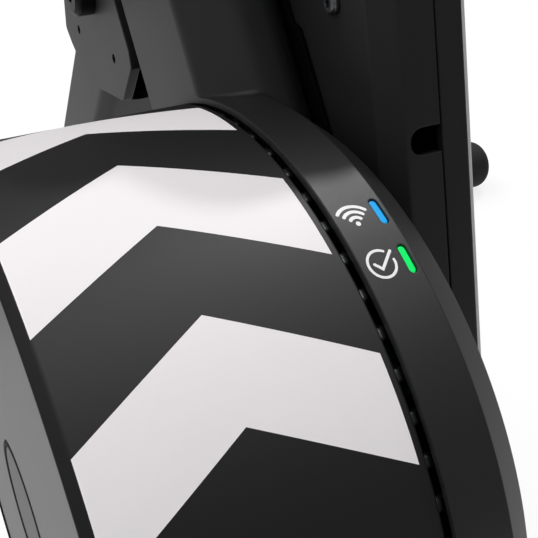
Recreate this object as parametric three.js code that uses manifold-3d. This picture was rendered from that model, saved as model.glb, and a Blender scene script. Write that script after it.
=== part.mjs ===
// A direct drive bike trainer: the bike's rear wheel comes off, and its frame and chain go on
// the hub axle and the sprockets here. A belt drives a low, wide flywheel with a brake inside.
// Millimetres. +X is the drive side, +Y is forward and +Z is up. The origin is on the floor,
// under the middle of the bounding box, and X = 0 is the middle plane of the bike.
// Castings are drawn in the trainer's own frame, whose origin is on the flywheel's axis.
import * as THREE from "three";
import { mergeVertices } from "three/addons/utils/BufferGeometryUtils.js";
import Module from "manifold-3d";

const wasm = await Module();
wasm.setup();

// Clearances and overruns
const fitGap = 0.3;
const cutOverrun = 2;
const jointSink = 0.5;

// Stance
const flywheelHeight = 172;
const hubForward = 98;
const hubRise = 168;
const columnLean = 36.4;

// Flywheel
const drumRadius = 120;
const drumWidth = 81.4;
const drumLeft = -135.9;
const drumEdgeChamfer = 2.9;
const drumEdgeDrop = 1.2;
const rimThickness = 12;
const webThickness = 8;
const drumHubRadius = 22;
const drumHubLength = 10;
const facePlateRadius = 117.8;
const facePlateThickness = 2;
const centreCapRadius = 25;
const centreCapThickness = 2.6;
const brakeRingThickness = 3;
const brakeRingWidth = 64;

// Flywheel shaft, its bearings and the small pulley
const shaftRadius = 8.5;
const shaftShoulderRadius = 10.5;
const shaftNutRadius = 14;
const shaftNutWidth = 4;
const shaftBearingRadius = 17.5;
const shaftBearingWidth = 10;
const raceShare = 1 / 3;
const grooveShare = 0.2;
const smallPulleyRadius = 15.5;
const smallPulleyFlange = 19.5;
const smallPulleyFlangeWidth = 1.2;

// Ring housing and column, one casting
const housingGap = 1.7;
const ringRadius = 122;
const ringTaper = 1.3;
const ringWidth = 16.8;
const bevelWidth = 10.8;
const bevelDrop = 8.4;
const ringWall = 7;
const lipWall = 2.2;
const lipDepth = 6;
const lipTaper = 3;
const backWall = 8;
const columnWidth = 36.2;
const columnDepth = 60;
const columnSetback = 20.5;
const ringFilletRadius = 6;
const padRadius = 30;
const spigotRadius = 24;
const spigotReach = 59.2;
const spigotMidBore = 15;

// Brake stator and electronics
const statorGap = 1.6;
const statorWidth = 30;
const statorHubWall = 14;
const poleCount = 6;
const poleWidth = 26;
const poleShoeDepth = 12;
const poleShoeSpan = 50;
const coilThickness = 7.5;
const coilLength = 34;
const boardLength = 52;
const boardWidth = 40;
const boardThickness = 1.6;
const boardStandoff = 4;
const boardDistance = 70;
const boardTurn = 30;
const boardPostRadius = 2.5;
const chipHeight = 5;
const chipSize = 12;
const inductorRadius = 8;
const inductorHeight = 10;
const lensLength = 8.3;
const lensWidth = 2.8;
const lensDepth = 3;
const lensProud = 0.2;
const lensInset = 2.5;
const linkLensAngle = 22.9;
const readyLensAngle = 30.2;
const inletRadius = 7;
const inletBore = 4;
const inletLength = 13;
const inletDepth = 9;
const inletInset = 42;
const inletAngle = 205;

// Belt and belt cover
const coverBottomRadius = 48;
const coverTopRadius = 99;
const coverWall = 3;
const coverChamfer = 6.6;
const innerCoverWidth = 19.2;
const outerCoverWidth = 10.1;
const sidePlateThickness = 1.8;
const sidePlateInset = 1.2;
const slotLength = 11.5;
const slotHeight = 8.4;
const slotRise = 104;
const slotDepth = 14;
const beltWidth = 12.5;
const beltThickness = 3.2;
const pulleyRoom = 13;
const pulleyWidth = 16;
const pulleyRim = 5;
const pulleyWeb = 5;
const pulleyHubRadius = 20;
const pulleyWindowRadius = 19;
const pulleyWindowCount = 6;
const idlerRadius = 8;
const idlerPinRadius = 3;
const idlerShare = 0.2;
const tensionerArmLength = 38;
const tensionerArmThickness = 3.2;
const tensionerArmRadius = 5;
const tensionerBossRadius = 6;
const tensionerHeadRadius = 5;
const tensionerHeadHeight = 3;
const screwPostRadius = 4.2;
const rearPostShare = 0.1;
const frontPostShare = 0.5;
const castBossRadius = 6;
const castScrewCount = 2;
const screwHeadRadius = 3.6;
const screwHeadHeight = 2.2;
const screwShankRadius = 1.7;
const screwShankLength = 12;
const rearScrewInset = 23.6;
const rearScrewRise = 146;

// Hub axle and sprockets
const axleRadius = 7.5;
const axleBore = 3.2;
const axleShoulderRadius = 10;
const dropoutWidth = 130;
const axleCapLength = 5;
const axleCapRadius = 10.7;
const hubBearingRadius = 14;
const hubBearingWidth = 7;
const freehubRadius = 17.3;
const freehubLength = 40.7;
const sprocketTeeth = [28, 25, 23, 21, 19, 17, 15, 14, 13, 12, 11];
const chainPitch = 12.7;
const sprocketThickness = 1.6;
const sprocketPitch = 3.7;
const sprocketToothHeight = 4;
const toothTipShare = 0.5;
const sprocketCarrierWall = 3;
const lockringRadius = 16.6;
const lockringWidth = 2;
const skewerRadius = 2.5;
const dropoutThickness = 6;
const skewerNutRadius = 9;
const skewerNutLength = 9;
const camFloor = 2.5;
const camWidth = 7;
const camRadius = 6.4;
const leverLength = 50;
const leverWidth = 14;
const leverThickness = 5;

// Carry handle
const handleRadius = 10;
const handleReach = 84;
const handleFrontAngle = 45;
const handleFootRadius = 13;
const handleFootThickness = 4;
const handleBossReach = 34;
const handleShares = [[0, 0], [0.35, 0], [0.75, 0.06], [1, 0.24], [1, 0.5]];

// Front leg, bolted to a lug of the column
const legDepth = 41;
const legCorner = 7;
const legWall = 4;
const legTopClear = 5;
const legFootClear = 8;
const notchRadius = 14;
const cheekThickness = 4;
const cheekReach = 45;
const cheekCorner = 3;
const cheekShares = [
  [-0.28, 0.72], [-0.987, -0.258], [-1.018, -0.398], [-0.72, -0.8], [0.3, -0.97],
  [0.77, -0.7], [0.924, -0.576], [0.88, -0.267], [0.7, 0.364], [0.37, 0.92],
];
const cheekHoleShares = [[-0.57, -0.45], [0.45, -0.47], [0.29, 0.43]];
const mainBoltForward = 146.4;
const mainBoltRise = 123.6;
const upperBoltForward = 138;
const upperBoltRise = 153;
const mainBoltOffset = 11.7;
const lugRadius = 17;
const boltRadius = 5;
const boltHeadRadius = 9;
const boltHeadHeight = 8;
const cheekHoleRadius = 2;

// Cross bars and feet
const frontBarReach = 341.6;
const frontBarRadius = 19;
const frontBarSweep = 40.4;
const frontBarHalf = 363;
const frontBarStraight = 40;
const frontBarMiddle = 60;
const frontBarWall = 2.5;
const endCapRadius = 22;
const endCapLength = 38;
const endCapOverhang = 22;
const endCapCorner = 9;
const endCapCornerShares = [0.25, 0.5, 0.75];
const soleFlat = 1;
const rearLegDepth = 40;
const rearLegInset = 2.6;
const rearLegLength = 95;
const rearBarReach = 136;
const rearBarRadius = 16;
const rearBarHalf = 172;
const rearBarWall = 2.5;
const rearPlugRadius = 17;
const rearPlugLength = 6;
const rearPlugSpigot = 12;
const knobRadius = 18;
const knobHeight = 11.7;
const knobInset = 22;
const knobLobes = 8;
const knobLobeDepth = 3;
const studRadius = 4;
const studLength = 26;
const bossRadius = 10;
const bossDrop = 2;

// Roundness: sides of large and small circles, and steps along curves
const largeSides = 44;
const middleSides = 16;
const smallSides = 12;
const tinySides = 8;
const coverSides = 18;
const cornerSides = 2;
const endSides = 6;
const frontBarSteps = 20;
const handleSteps = 16;
const knobLobeSteps = 6;

// Places worked out from the sizes
const radians = THREE.MathUtils.degToRad;
const hubDistance = Math.hypot(hubForward, hubRise);
const up = [Math.sin(radians(columnLean)), Math.cos(radians(columnLean))];
const back = [-up[1], up[0]];
const housingLeft = drumLeft + drumWidth + housingGap;
const backWallRight = housingLeft + ringWidth + bevelWidth;
const backWallLeft = backWallRight - backWall;
const housingRight = housingLeft + columnWidth;
const coverLeft = housingRight;
const drivePulleyRadius = coverTopRadius - pulleyRoom;
const seam = coverLeft + innerCoverWidth;
const coverRight = seam + fitGap + outerCoverWidth;
const cavityRadius = ringRadius - ringWall;
const lipRadius = ringRadius - lipWall;
const drumInside = drumRadius - rimThickness;
const beltMiddle = (coverLeft + coverRight) / 2 + fitGap;
const pulleyLeft = beltMiddle - pulleyWidth / 2;
const pulleyRight = beltMiddle + pulleyWidth / 2;
const endCapHeight = endCapRadius - soleFlat;
const rearBarHeight = knobHeight + fitGap + bossDrop + rearBarRadius;
const frontReach = frontBarReach + frontBarSweep + endCapRadius;
const rearReach = rearBarReach + knobRadius;
const flywheelForward = (rearReach - frontReach) / 2;

// A solid from a closed three.js geometry, with its shared corners merged.
function solidFrom(geometry) {
  const bare = geometry.clone();
  bare.deleteAttribute("normal");
  bare.deleteAttribute("uv");
  const merged = mergeVertices(bare, fitGap / 1000);
  const corners = merged.index.array;
  const kept = [];
  for (let i = 0; i < corners.length; i += 3) {
    const [a, b, c] = [corners[i], corners[i + 1], corners[i + 2]];
    if (a !== b && b !== c && c !== a) kept.push(a, b, c);
  }
  return new wasm.Manifold(
    new wasm.Mesh({
      numProp: 3,
      vertProperties: merged.attributes.position.array,
      triVerts: new Uint32Array(kept),
    }),
  );
}

// A three.js geometry from a solid.
function geometryFrom(solid) {
  const { vertProperties, triVerts } = solid.getMesh();
  const geometry = new THREE.BufferGeometry();
  geometry.setAttribute("position", new THREE.BufferAttribute(vertProperties, 3));
  geometry.setIndex(new THREE.BufferAttribute(triVerts, 1));
  const flat = geometry.toNonIndexed();
  flat.computeVertexNormals();
  return flat;
}

// A body turned about the X axis from a profile of [x, radius] points. A profile that doesn't
// start and end on the axis closes on itself.
function turned(profile, sides = middleSides) {
  let area = 0;
  profile.forEach(([x, r], i) => {
    const [nextX, nextR] = profile[(i + 1) % profile.length];
    area += x * nextR - nextX * r;
  });
  const points = profile.map(([x, r]) => new THREE.Vector2(r, x));
  if (profile[0][1] > 0) points.push(points[0].clone());
  if (area > 0) points.reverse();
  const lathe = new THREE.LatheGeometry(points, sides);
  lathe.rotateZ(-Math.PI / 2);
  return solidFrom(lathe);
}

function rod(left, right, radius, sides = middleSides) {
  return turned([[left, 0], [left, radius], [right, radius], [right, 0]], sides);
}

function tube(left, right, radius, bore, sides = middleSides) {
  return turned([[left, bore], [left, radius], [right, radius], [right, bore]], sides);
}

function moved(solid, y, z, x = 0) {
  return solid.translate(x, y, z);
}

// An outline in the YZ plane, extruded along X from left to right.
function prism(shape, left, right, curveSegments = smallSides) {
  const geometry = new THREE.ExtrudeGeometry(shape, {
    depth: right - left,
    bevelEnabled: false,
    curveSegments,
  });
  geometry.applyMatrix4(
    new THREE.Matrix4().set(0, 0, 1, left, 1, 0, 0, 0, 0, 1, 0, 0, 0, 0, 0, 1),
  );
  return solidFrom(geometry);
}

// The same with a chamfer along both edges, inside the outline.
function chamferedPrism(shape, left, right, chamfer, curveSegments = smallSides) {
  const geometry = new THREE.ExtrudeGeometry(shape, {
    depth: right - left - 2 * chamfer,
    bevelThickness: chamfer,
    bevelSize: chamfer,
    bevelOffset: -chamfer,
    bevelSegments: 1,
    curveSegments,
  });
  geometry.applyMatrix4(
    new THREE.Matrix4().set(0, 0, 1, left + chamfer, 1, 0, 0, 0, 0, 1, 0, 0, 0, 0, 0, 1),
  );
  return solidFrom(geometry);
}

// The outline of a band around two circles, as [y, z, radius] each.
function link([y1, z1, r1], [y2, z2, r2]) {
  const heading = Math.atan2(z2 - z1, y2 - y1);
  const wrap = Math.acos((r1 - r2) / Math.hypot(y2 - y1, z2 - z1));
  const shape = new THREE.Shape();
  shape.absarc(y1, z1, r1, heading + wrap, heading - wrap + 2 * Math.PI, false);
  shape.absarc(y2, z2, r2, heading - wrap, heading + wrap, false);
  return shape;
}

function hexagon(cornerRadius) {
  const shape = new THREE.Shape();
  for (let i = 0; i < 6; i++) {
    const [y, z] = polar(cornerRadius, 60 * i);
    if (i === 0) shape.moveTo(y, z);
    else shape.lineTo(y, z);
  }
  shape.closePath();
  return shape;
}

// A closed outline through [y, z] points, each corner rounded.
function roundedOutline(points, radius) {
  const shape = new THREE.Shape();
  points.forEach(([y, z], i) => {
    const corner = new THREE.Vector2(y, z);
    const before = new THREE.Vector2(...points.at(i - 1)).sub(corner).setLength(radius);
    const after = new THREE.Vector2(...points[(i + 1) % points.length]).sub(corner).setLength(radius);
    const start = corner.clone().add(before);
    const end = corner.clone().add(after);
    if (i === 0) shape.moveTo(start.x, start.y);
    else shape.lineTo(start.x, start.y);
    shape.quadraticCurveTo(y, z, end.x, end.y);
  });
  shape.closePath();
  return shape;
}

// A rounded bar of rectangular section along +Z, from the origin.
function bar(width, depth, corner, length) {
  const [w, d] = [width / 2, depth / 2];
  const section = roundedOutline([[-w, -d], [w, -d], [w, d], [-w, d]], corner);
  return new THREE.ExtrudeGeometry(section, {
    depth: length,
    bevelEnabled: false,
    curveSegments: 2 * cornerSides,
  });
}

function block(left, right, rear, front, bottom, top) {
  const box = new THREE.BoxGeometry(right - left, front - rear, top - bottom);
  box.translate((left + right) / 2, (rear + front) / 2, (bottom + top) / 2);
  return solidFrom(box);
}

// A [y, z] point at a distance and an angle from an axis.
function polar(radius, angle) {
  return [radius * Math.cos(radians(angle)), radius * Math.sin(radians(angle))];
}

// A solid with a round hole from left to right at each [y, z] place.
function drilled(solid, left, right, radius, places, sides = tinySides) {
  let result = solid;
  for (const at of places) {
    const hole = rod(left - cutOverrun, right + cutOverrun, radius, sides);
    result = result.subtract(moved(hole, ...at));
  }
  return result;
}

// A tube of round section along a path.
function roundTube(path, radius, sides, steps) {
  const section = new THREE.Shape();
  for (let i = 0; i < sides; i++) {
    const [a, b] = polar(radius, (360 * i) / sides);
    if (i === 0) section.moveTo(a, b);
    else section.lineTo(a, b);
  }
  section.closePath();
  return solidFrom(new THREE.ExtrudeGeometry(section, { steps, extrudePath: path, bevelEnabled: false }));
}

// A round post outwards from an axis, at an angle in the YZ plane.
function spoke(angle, from, to, radius) {
  return rod(from, to, radius, smallSides).rotate(0, 0, 90).rotate(angle, 0, 0);
}

// A point at a height along the column and a distance behind its middle line, seen from the
// flywheel's axis.
function onColumn(along, behind) {
  const across = columnSetback + behind;
  return [along * up[0] + across * back[0], along * up[1] + across * back[1]];
}

const hubAlong = hubForward * up[0] + hubRise * up[1];

// Materials
function finish(color, roughness, metalness) {
  return new THREE.MeshStandardMaterial({ color, roughness, metalness });
}
const blackCasting = finish(0x1d1d1f, 0.55, 0.3);
const blackSteel = finish(0x1b1b1d, 0.5, 0.3);
const blackPlastic = finish(0x18181a, 0.6, 0);
const blackRubber = finish(0x0e0e0f, 0.9, 0);
const drumPaint = finish(0xe8e8ea, 0.4, 0.1);
const greyFace = finish(0x8b8b8d, 0.45, 0.2);
const brightSteel = finish(0xb9bcc0, 0.25, 0.9);
const darkSteel = finish(0x4b4d50, 0.4, 0.8);
const pulleyAlloy = finish(0x9a9da0, 0.35, 0.9);
const copper = finish(0xa8623a, 0.4, 0.8);
const boardGreen = finish(0x1c5a3a, 0.5, 0);
const paleEdge = finish(0xc9cbcd, 0.4, 0.5);
const blueLens = finish(0x148cff, 0.2, 0);
const greenLens = finish(0x0fd060, 0.2, 0);

function piece(name, solid, material) {
  const mesh = new THREE.Mesh(geometryFrom(solid), material);
  mesh.name = name;
  return mesh;
}

function groupAt(x, y, z, ...pieces) {
  const group = new THREE.Group();
  group.position.set(x, y, z);
  for (const each of pieces) group.add(each);
  return group;
}

// Flywheel: the drum, its face, the brake ring inside it and the shaft, about their own axis
const webLeft = drumLeft + facePlateThickness;
const webRight = webLeft + webThickness;
const drumRight = drumLeft + drumWidth;
const drumHubRight = webRight + drumHubLength;
const nutSeat = webLeft + shaftNutWidth + fitGap + centreCapThickness - facePlateThickness;

function flywheelDrum() {
  const recess = facePlateRadius + fitGap;
  const nutPocket = shaftNutRadius + fitGap;
  const capPocket = centreCapRadius + fitGap;
  const capSeat = drumLeft + centreCapThickness;
  const boreWall = shaftRadius + fitGap;
  return turned([
    [drumLeft, recess],
    [drumLeft, drumRadius - drumEdgeDrop],
    [drumLeft + drumEdgeChamfer, drumRadius],
    [drumRight, drumRadius],
    [drumRight, drumInside],
    [webRight, drumInside],
    [webRight, drumHubRadius],
    [drumHubRight, drumHubRadius],
    [drumHubRight, boreWall],
    [nutSeat, boreWall],
    [nutSeat, nutPocket],
    [capSeat, nutPocket],
    [capSeat, capPocket],
    [webLeft, capPocket],
    [webLeft, recess],
  ], largeSides);
}

function flywheelShaft() {
  const shoulderLeft = drumHubRight + fitGap;
  const shoulderRight = bearingLeft - fitGap;
  const collarLeft = bearingRight + shaftBearingWidth + fitGap;
  const end = pulleyRight;
  return turned([
    [nutSeat - shaftNutWidth, 0],
    [nutSeat - shaftNutWidth, shaftRadius],
    [shoulderLeft, shaftRadius],
    [shoulderLeft, shaftShoulderRadius],
    [shoulderRight, shaftShoulderRadius],
    [shoulderRight, shaftRadius],
    [collarLeft, shaftRadius],
    [collarLeft, shaftShoulderRadius],
    [pulleyLeft - fitGap, shaftShoulderRadius],
    [pulleyLeft - fitGap, shaftRadius],
    [end, shaftRadius],
    [end, 0],
  ]);
}

function smallPulley() {
  const bore = shaftRadius + fitGap;
  const rimLeft = pulleyLeft + smallPulleyFlangeWidth;
  return turned([
    [pulleyLeft, bore],
    [pulleyLeft, smallPulleyFlange],
    [rimLeft, smallPulleyFlange],
    [rimLeft, smallPulleyRadius],
    [pulleyRight, smallPulleyRadius],
    [pulleyRight, bore],
  ]);
}

// A ball bearing with a groove between its races on its left face.
function bearing(left, width, radius, bore) {
  const race = (radius - bore) * raceShare;
  const groove = width * grooveShare;
  const right = left + width;
  return turned([
    [left, bore],
    [left, bore + race],
    [left + groove, bore + race],
    [left + groove, radius - race],
    [left, radius - race],
    [left, radius],
    [right, radius],
    [right, bore],
  ]);
}

// Housing: the ring around the open side of the flywheel and the column up to the hub
const spigotLeft = housingLeft - spigotReach;
const bearingLeft = spigotLeft + fitGap;
const bearingRight = housingRight - fitGap - shaftBearingWidth;

// The hollow between the ring and a face of the column, filled to a concave curve.
function ringFillet() {
  const faceOffset = columnSetback + columnDepth / 2;
  const across = faceOffset + ringFilletRadius;
  const along = Math.sqrt((ringRadius + ringFilletRadius) ** 2 - across ** 2);
  const centre = [along * up[0] + across * back[0], along * up[1] + across * back[1]];
  const reach = ringRadius + ringFilletRadius;
  const [rimY, rimZ] = [centre[0] / reach, centre[1] / reach];
  const fromRing = Math.atan2(-centre[1], -centre[0]);
  const fromFace = Math.atan2(-back[1], -back[0]);
  const shape = new THREE.Shape();
  shape.moveTo(rimY * ringRadius, rimZ * ringRadius);
  shape.absarc(centre[0], centre[1], ringFilletRadius, fromRing, fromFace, false);
  const root = onColumn(along, 0);
  shape.lineTo(root[0], root[1]);
  const rim = ringRadius - ringWall / 2;
  shape.lineTo(rimY * rim, rimZ * rim);
  shape.closePath();
  return shape;
}

function ringBody() {
  const edge = ringRadius - ringTaper;
  return turned([
    [housingLeft, 0],
    [housingLeft, ringRadius],
    [housingLeft + ringWidth, edge],
    [backWallRight, edge - bevelDrop],
    [backWallRight, 0],
  ], largeSides);
}

function lensPlace(angle) {
  const x = housingLeft + ringWidth - lensInset;
  const radius = ringRadius - (ringTaper * (ringWidth - lensInset)) / ringWidth;
  return { x, radius, angle: radians(angle) };
}

// A round-ended block on the ring's outside, along its edge, for a lens or its pocket.
function lensBlock({ x, radius, angle }, proud, grow) {
  const half = lensLength / 2 - lensWidth / 2;
  const shape = link([-half, 0, lensWidth / 2 + grow], [half, 0, lensWidth / 2 + grow]);
  const geometry = new THREE.ExtrudeGeometry(shape, {
    depth: lensDepth + proud + grow,
    bevelEnabled: false,
    curveSegments: endSides,
  });
  geometry.translate(0, 0, -lensDepth - grow);
  geometry.rotateZ(Math.PI / 2);
  geometry.translate(x, 0, radius);
  geometry.rotateX(angle);
  return solidFrom(geometry);
}

// The room inside the ring, widest behind its thin lip.
function ringCavity() {
  const shoulder = housingLeft + lipDepth;
  return turned([
    [housingLeft - cutOverrun, 0],
    [housingLeft - cutOverrun, lipRadius],
    [shoulder, lipRadius],
    [shoulder + lipTaper, cavityRadius],
    [backWallLeft, cavityRadius],
    [backWallLeft, 0],
  ], largeSides);
}

// The casting's solid metal, before its bores.
function housingBlank() {
  const columnFoot = onColumn(columnDepth, 0);
  const head = [...hub, columnDepth / 2];
  const column = prism(link([...columnFoot, columnDepth / 2], head), housingLeft, housingRight);
  const pad = prism(link([0, 0, padRadius], [...columnFoot, columnDepth / 2]), backWallLeft, housingRight);
  const fillet = prism(ringFillet(), housingLeft, housingLeft + ringWidth);
  const spigot = rod(spigotLeft, backWallRight, spigotRadius);

  const lugLeft = housingLeft + cheekThickness + fitGap;
  const lugRight = housingRight - cheekThickness - fitGap;
  const mainBolt = [mainBoltForward, mainBoltRise, lugRadius];
  const upperBolt = [upperBoltForward, upperBoltRise, lugRadius];
  const lugRoot = [...onColumn(hubAlong - columnDepth / 2, 0), lugRadius];

  let blank = ringBody()
    .add(column)
    .add(pad)
    .add(fillet)
    .subtract(ringCavity())
    .add(spigot)
    .add(prism(link(lugRoot, mainBolt), lugLeft, lugRight))
    .add(prism(link(mainBolt, upperBolt), lugLeft, lugRight))
    .add(prism(link([...hub, lugRadius], upperBolt), lugLeft, lugRight));
  for (const angle of [handleFrontAngle, handleRearAngle]) {
    blank = blank.add(moved(spoke(angle, 0, handleBossReach, handleFootRadius), ...hub, legMiddle));
  }
  for (const at of postPlaces().slice(0, castScrewCount)) {
    blank = blank.add(moved(rod(backWallLeft, housingRight, castBossRadius, smallSides), ...at));
  }
  const tensionerBoss = rod(backWallLeft, coverLeft + coverWall, tensionerBossRadius, smallSides);
  return blank.add(moved(tensionerBoss, ...tensionerPlace()));
}

function housing() {
  const mouth = shaftBearingRadius + fitGap;
  const bored = housingBlank()
    .subtract(rod(spigotLeft - cutOverrun, bearingLeft + shaftBearingWidth + fitGap, mouth))
    .subtract(rod(bearingRight - fitGap, housingRight + cutOverrun, mouth))
    .subtract(rod(spigotLeft, housingRight, spigotMidBore))
    .subtract(lensBlock(lensPlace(linkLensAngle), cutOverrun, fitGap))
    .subtract(lensBlock(lensPlace(readyLensAngle), cutOverrun, fitGap));
  const screwHoles = postPlaces().slice(0, castScrewCount);
  const withAxle = drilled(bored, housingLeft, housingRight, axleRadius + fitGap, [hub], middleSides);
  const boltHole = boltRadius + fitGap;
  const withBolts = drilled(withAxle, housingLeft, housingRight, boltHole, boltPlaces, smallSides);
  const screwHole = screwShankRadius + fitGap;
  const withScrews = drilled(withBolts, backWallLeft, housingRight, screwHole, screwHoles);
  const pinHole = idlerPinRadius + fitGap;
  return drilled(withScrews, tensionerBoltLeft, coverLeft + coverWall, pinHole, [tensionerPlace()]);
}

// Brake stator: a laminated star on the housing's spigot, with a coil on each pole
const statorRadius = drumInside - brakeRingThickness - fitGap - statorGap;
const statorLeft = spigotLeft + shaftBearingWidth + coilThickness;
const statorRight = statorLeft + statorWidth;
const statorHubRadius = spigotRadius + fitGap + statorHubWall;

function statorCore() {
  let core = rod(statorLeft, statorRight, statorHubRadius);
  for (let i = 0; i < poleCount; i++) {
    const turn = (360 * i) / poleCount;
    const half = poleWidth / 2;
    const arm = block(statorLeft, statorRight, -half, half, 0, statorRadius - poleShoeDepth / 2);
    core = core.add(arm.rotate(turn, 0, 0)).add(poleShoe().rotate(turn, 0, 0));
  }
  return core.subtract(rod(statorLeft - cutOverrun, statorRight + cutOverrun, spigotRadius + fitGap));
}

function poleShoe() {
  const half = radians(poleShoeSpan / 2);
  const inner = statorRadius - poleShoeDepth;
  const shape = new THREE.Shape();
  shape.absarc(0, 0, statorRadius, Math.PI / 2 - half, Math.PI / 2 + half, false);
  shape.absarc(0, 0, inner, Math.PI / 2 + half, Math.PI / 2 - half, true);
  shape.closePath();
  return prism(shape, statorLeft, statorRight, endSides);
}

function coil(turn) {
  const out = poleWidth / 2 + coilThickness;
  const top = statorRadius - poleShoeDepth - fitGap - poleSag();
  const bottom = top - coilLength;
  const clear = poleWidth / 2 + fitGap;
  const [low, high] = [bottom - cutOverrun, top + cutOverrun];
  return block(statorLeft - coilThickness, statorRight + coilThickness, -out, out, bottom, top)
    .subtract(block(statorLeft - fitGap, statorRight + fitGap, -clear, clear, low, high))
    .rotate(turn, 0, 0);
}

// How far a pole shoe's inner arc dips at the width of a coil.
function poleSag() {
  const inner = statorRadius - poleShoeDepth;
  const out = poleWidth / 2 + coilThickness;
  return inner - Math.sqrt(inner ** 2 - out ** 2);
}

// Control board on four posts, on the back wall inside the ring
function controlBoard() {
  const seat = backWallLeft - fitGap;
  const back = seat - boardStandoff;
  const face = back - boardThickness;
  const [l, w] = [boardLength / 2, boardWidth / 2];
  let board = block(face, back, -l, l, -w, w);
  for (const y of [-1, 1]) {
    for (const z of [-1, 1]) {
      const [postY, postZ] = [y * (l - 2 * boardPostRadius), z * (w - 2 * boardPostRadius)];
      board = board.add(moved(rod(face, seat, boardPostRadius, tinySides), postY, postZ));
    }
  }
  const half = chipSize / 2;
  const chip = block(face - chipHeight, face + jointSink, half, half + chipSize, -half, half);
  const inductor = rod(face - inductorHeight, face + jointSink, inductorRadius, tinySides);
  return board.add(chip).add(moved(inductor, -inductorRadius, 0));
}

function powerInlet() {
  const left = backWallRight;
  const right = left + inletLength;
  return turned([
    [left, 0],
    [left, inletRadius],
    [right, inletRadius],
    [right, inletBore],
    [right - inletDepth, inletBore],
    [right - inletDepth, 0],
  ], smallSides);
}

// Belt drive
const beltBack = fitGap + beltThickness;

function beltOutline(out) {
  return link([0, 0, smallPulleyRadius + out], [...hub, drivePulleyRadius + out]);
}

function belt() {
  const shape = beltOutline(beltBack);
  shape.holes.push(beltOutline(fitGap));
  return prism(shape, beltMiddle - beltWidth / 2, beltMiddle + beltWidth / 2, coverSides);
}

// The outward normal of a band around both axes, in radians: in front (-1) or behind (+1).
function bandNormal(lowRadius, highRadius, side) {
  return Math.atan2(hubRise, hubForward) + side * Math.acos((lowRadius - highRadius) / hubDistance);
}

// A point outside the belt's slack run, by its share of the run from below.
const slackNormal = bandNormal(smallPulleyRadius, drivePulleyRadius, -1);

function slackPoint(share, out) {
  const [c, s] = [Math.cos(slackNormal), Math.sin(slackNormal)];
  const low = smallPulleyRadius + beltBack + out;
  const high = drivePulleyRadius + beltBack + out;
  return [
    low * c * (1 - share) + (hubForward + high * c) * share,
    low * s * (1 - share) + (hubRise + high * s) * share,
  ];
}

const idlerAt = slackPoint(idlerShare, idlerRadius + fitGap);

function tensionerPlace() {
  return [
    idlerAt[0] - tensionerArmLength * Math.sin(slackNormal),
    idlerAt[1] + tensionerArmLength * Math.cos(slackNormal),
  ];
}

const armLeft = coverLeft + coverWall + fitGap;
const armRight = armLeft + tensionerArmThickness;
const tensionerBoltLeft = backWallRight;

function tensionerArm() {
  const [y, z] = tensionerPlace();
  const idlerEnd = [idlerAt[0] - y, idlerAt[1] - z];
  const shape = link([0, 0, tensionerArmRadius], [...idlerEnd, tensionerArmRadius]);
  const pin = moved(rod(armLeft, pulleyRight, idlerPinRadius, tinySides), ...idlerEnd);
  const arm = prism(shape, armLeft, armRight, 2 * endSides).add(pin);
  return drilled(arm, armLeft, armRight, idlerPinRadius + fitGap, [[0, 0]]);
}

function tensionerBolt() {
  const head = armRight + fitGap;
  return turned([
    [tensionerBoltLeft, 0],
    [tensionerBoltLeft, idlerPinRadius],
    [head, idlerPinRadius],
    [head, tensionerHeadRadius],
    [head + tensionerHeadHeight, tensionerHeadRadius],
    [head + tensionerHeadHeight, 0],
  ], tinySides);
}

function drivePulley() {
  const hubLeft = coverLeft + coverWall + fitGap;
  const rimInside = drivePulleyRadius - pulleyRim;
  const seat = hubBearingRadius + fitGap;
  const pass = axleRadius + 2 * fitGap;
  const webFrom = beltMiddle - pulleyWeb / 2;
  const webTo = beltMiddle + pulleyWeb / 2;
  const pulley = turned([
    [hubLeft, seat],
    [hubLeft, pulleyHubRadius],
    [webFrom, pulleyHubRadius],
    [webFrom, rimInside],
    [pulleyLeft, rimInside],
    [pulleyLeft, drivePulleyRadius],
    [pulleyRight, drivePulleyRadius],
    [pulleyRight, rimInside],
    [webTo, rimInside],
    [webTo, pulleyHubRadius],
    [pulleyHubRight, pulleyHubRadius],
    [pulleyHubRight, seat],
    [pulleyHubRight - hubBearingWidth - fitGap, seat],
    [pulleyHubRight - hubBearingWidth - fitGap, pass],
    [hubLeft + hubBearingWidth + fitGap, pass],
    [hubLeft + hubBearingWidth + fitGap, seat],
  ], 2 * coverSides);
  const windowAt = (rimInside + pulleyHubRadius) / 2;
  const places = [];
  for (let i = 0; i < pulleyWindowCount; i++) {
    places.push(polar(windowAt, (360 * i) / pulleyWindowCount));
  }
  return drilled(pulley, webFrom, webTo, pulleyWindowRadius, places);
}

// Belt cover: an inner shell on the casting, an outer shell and a thin plate over its side
const pulleyHubRight = coverRight + sidePlateThickness + fitGap;
const hub = [hubForward, hubRise];

function coverOutline(inset) {
  return link([0, 0, coverBottomRadius - inset], [...hub, coverTopRadius - inset]);
}

// A point by its rise along the cover's rear face and its distance inside that face.
const rearNormal = bandNormal(coverBottomRadius, coverTopRadius, 1);

function behindCover(rise, inset) {
  const reach = coverBottomRadius - inset;
  return [
    reach * Math.cos(rearNormal) + rise * Math.sin(rearNormal),
    reach * Math.sin(rearNormal) - rise * Math.cos(rearNormal),
  ];
}

// The three posts of the outer cover: behind, below and in front.
function postPlaces() {
  const front = bandNormal(coverBottomRadius, coverTopRadius, -1);
  const room = coverChamfer + screwPostRadius + fitGap;
  const reach = coverBottomRadius - room;
  const down = reach / hubDistance;
  const rise = hubDistance * frontPostShare;
  return [
    behindCover(hubDistance * rearPostShare, room),
    [-hubForward * down, -hubRise * down],
    [
      reach * Math.cos(front) - rise * Math.sin(front),
      reach * Math.sin(front) + rise * Math.cos(front),
    ],
  ];
}

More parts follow.
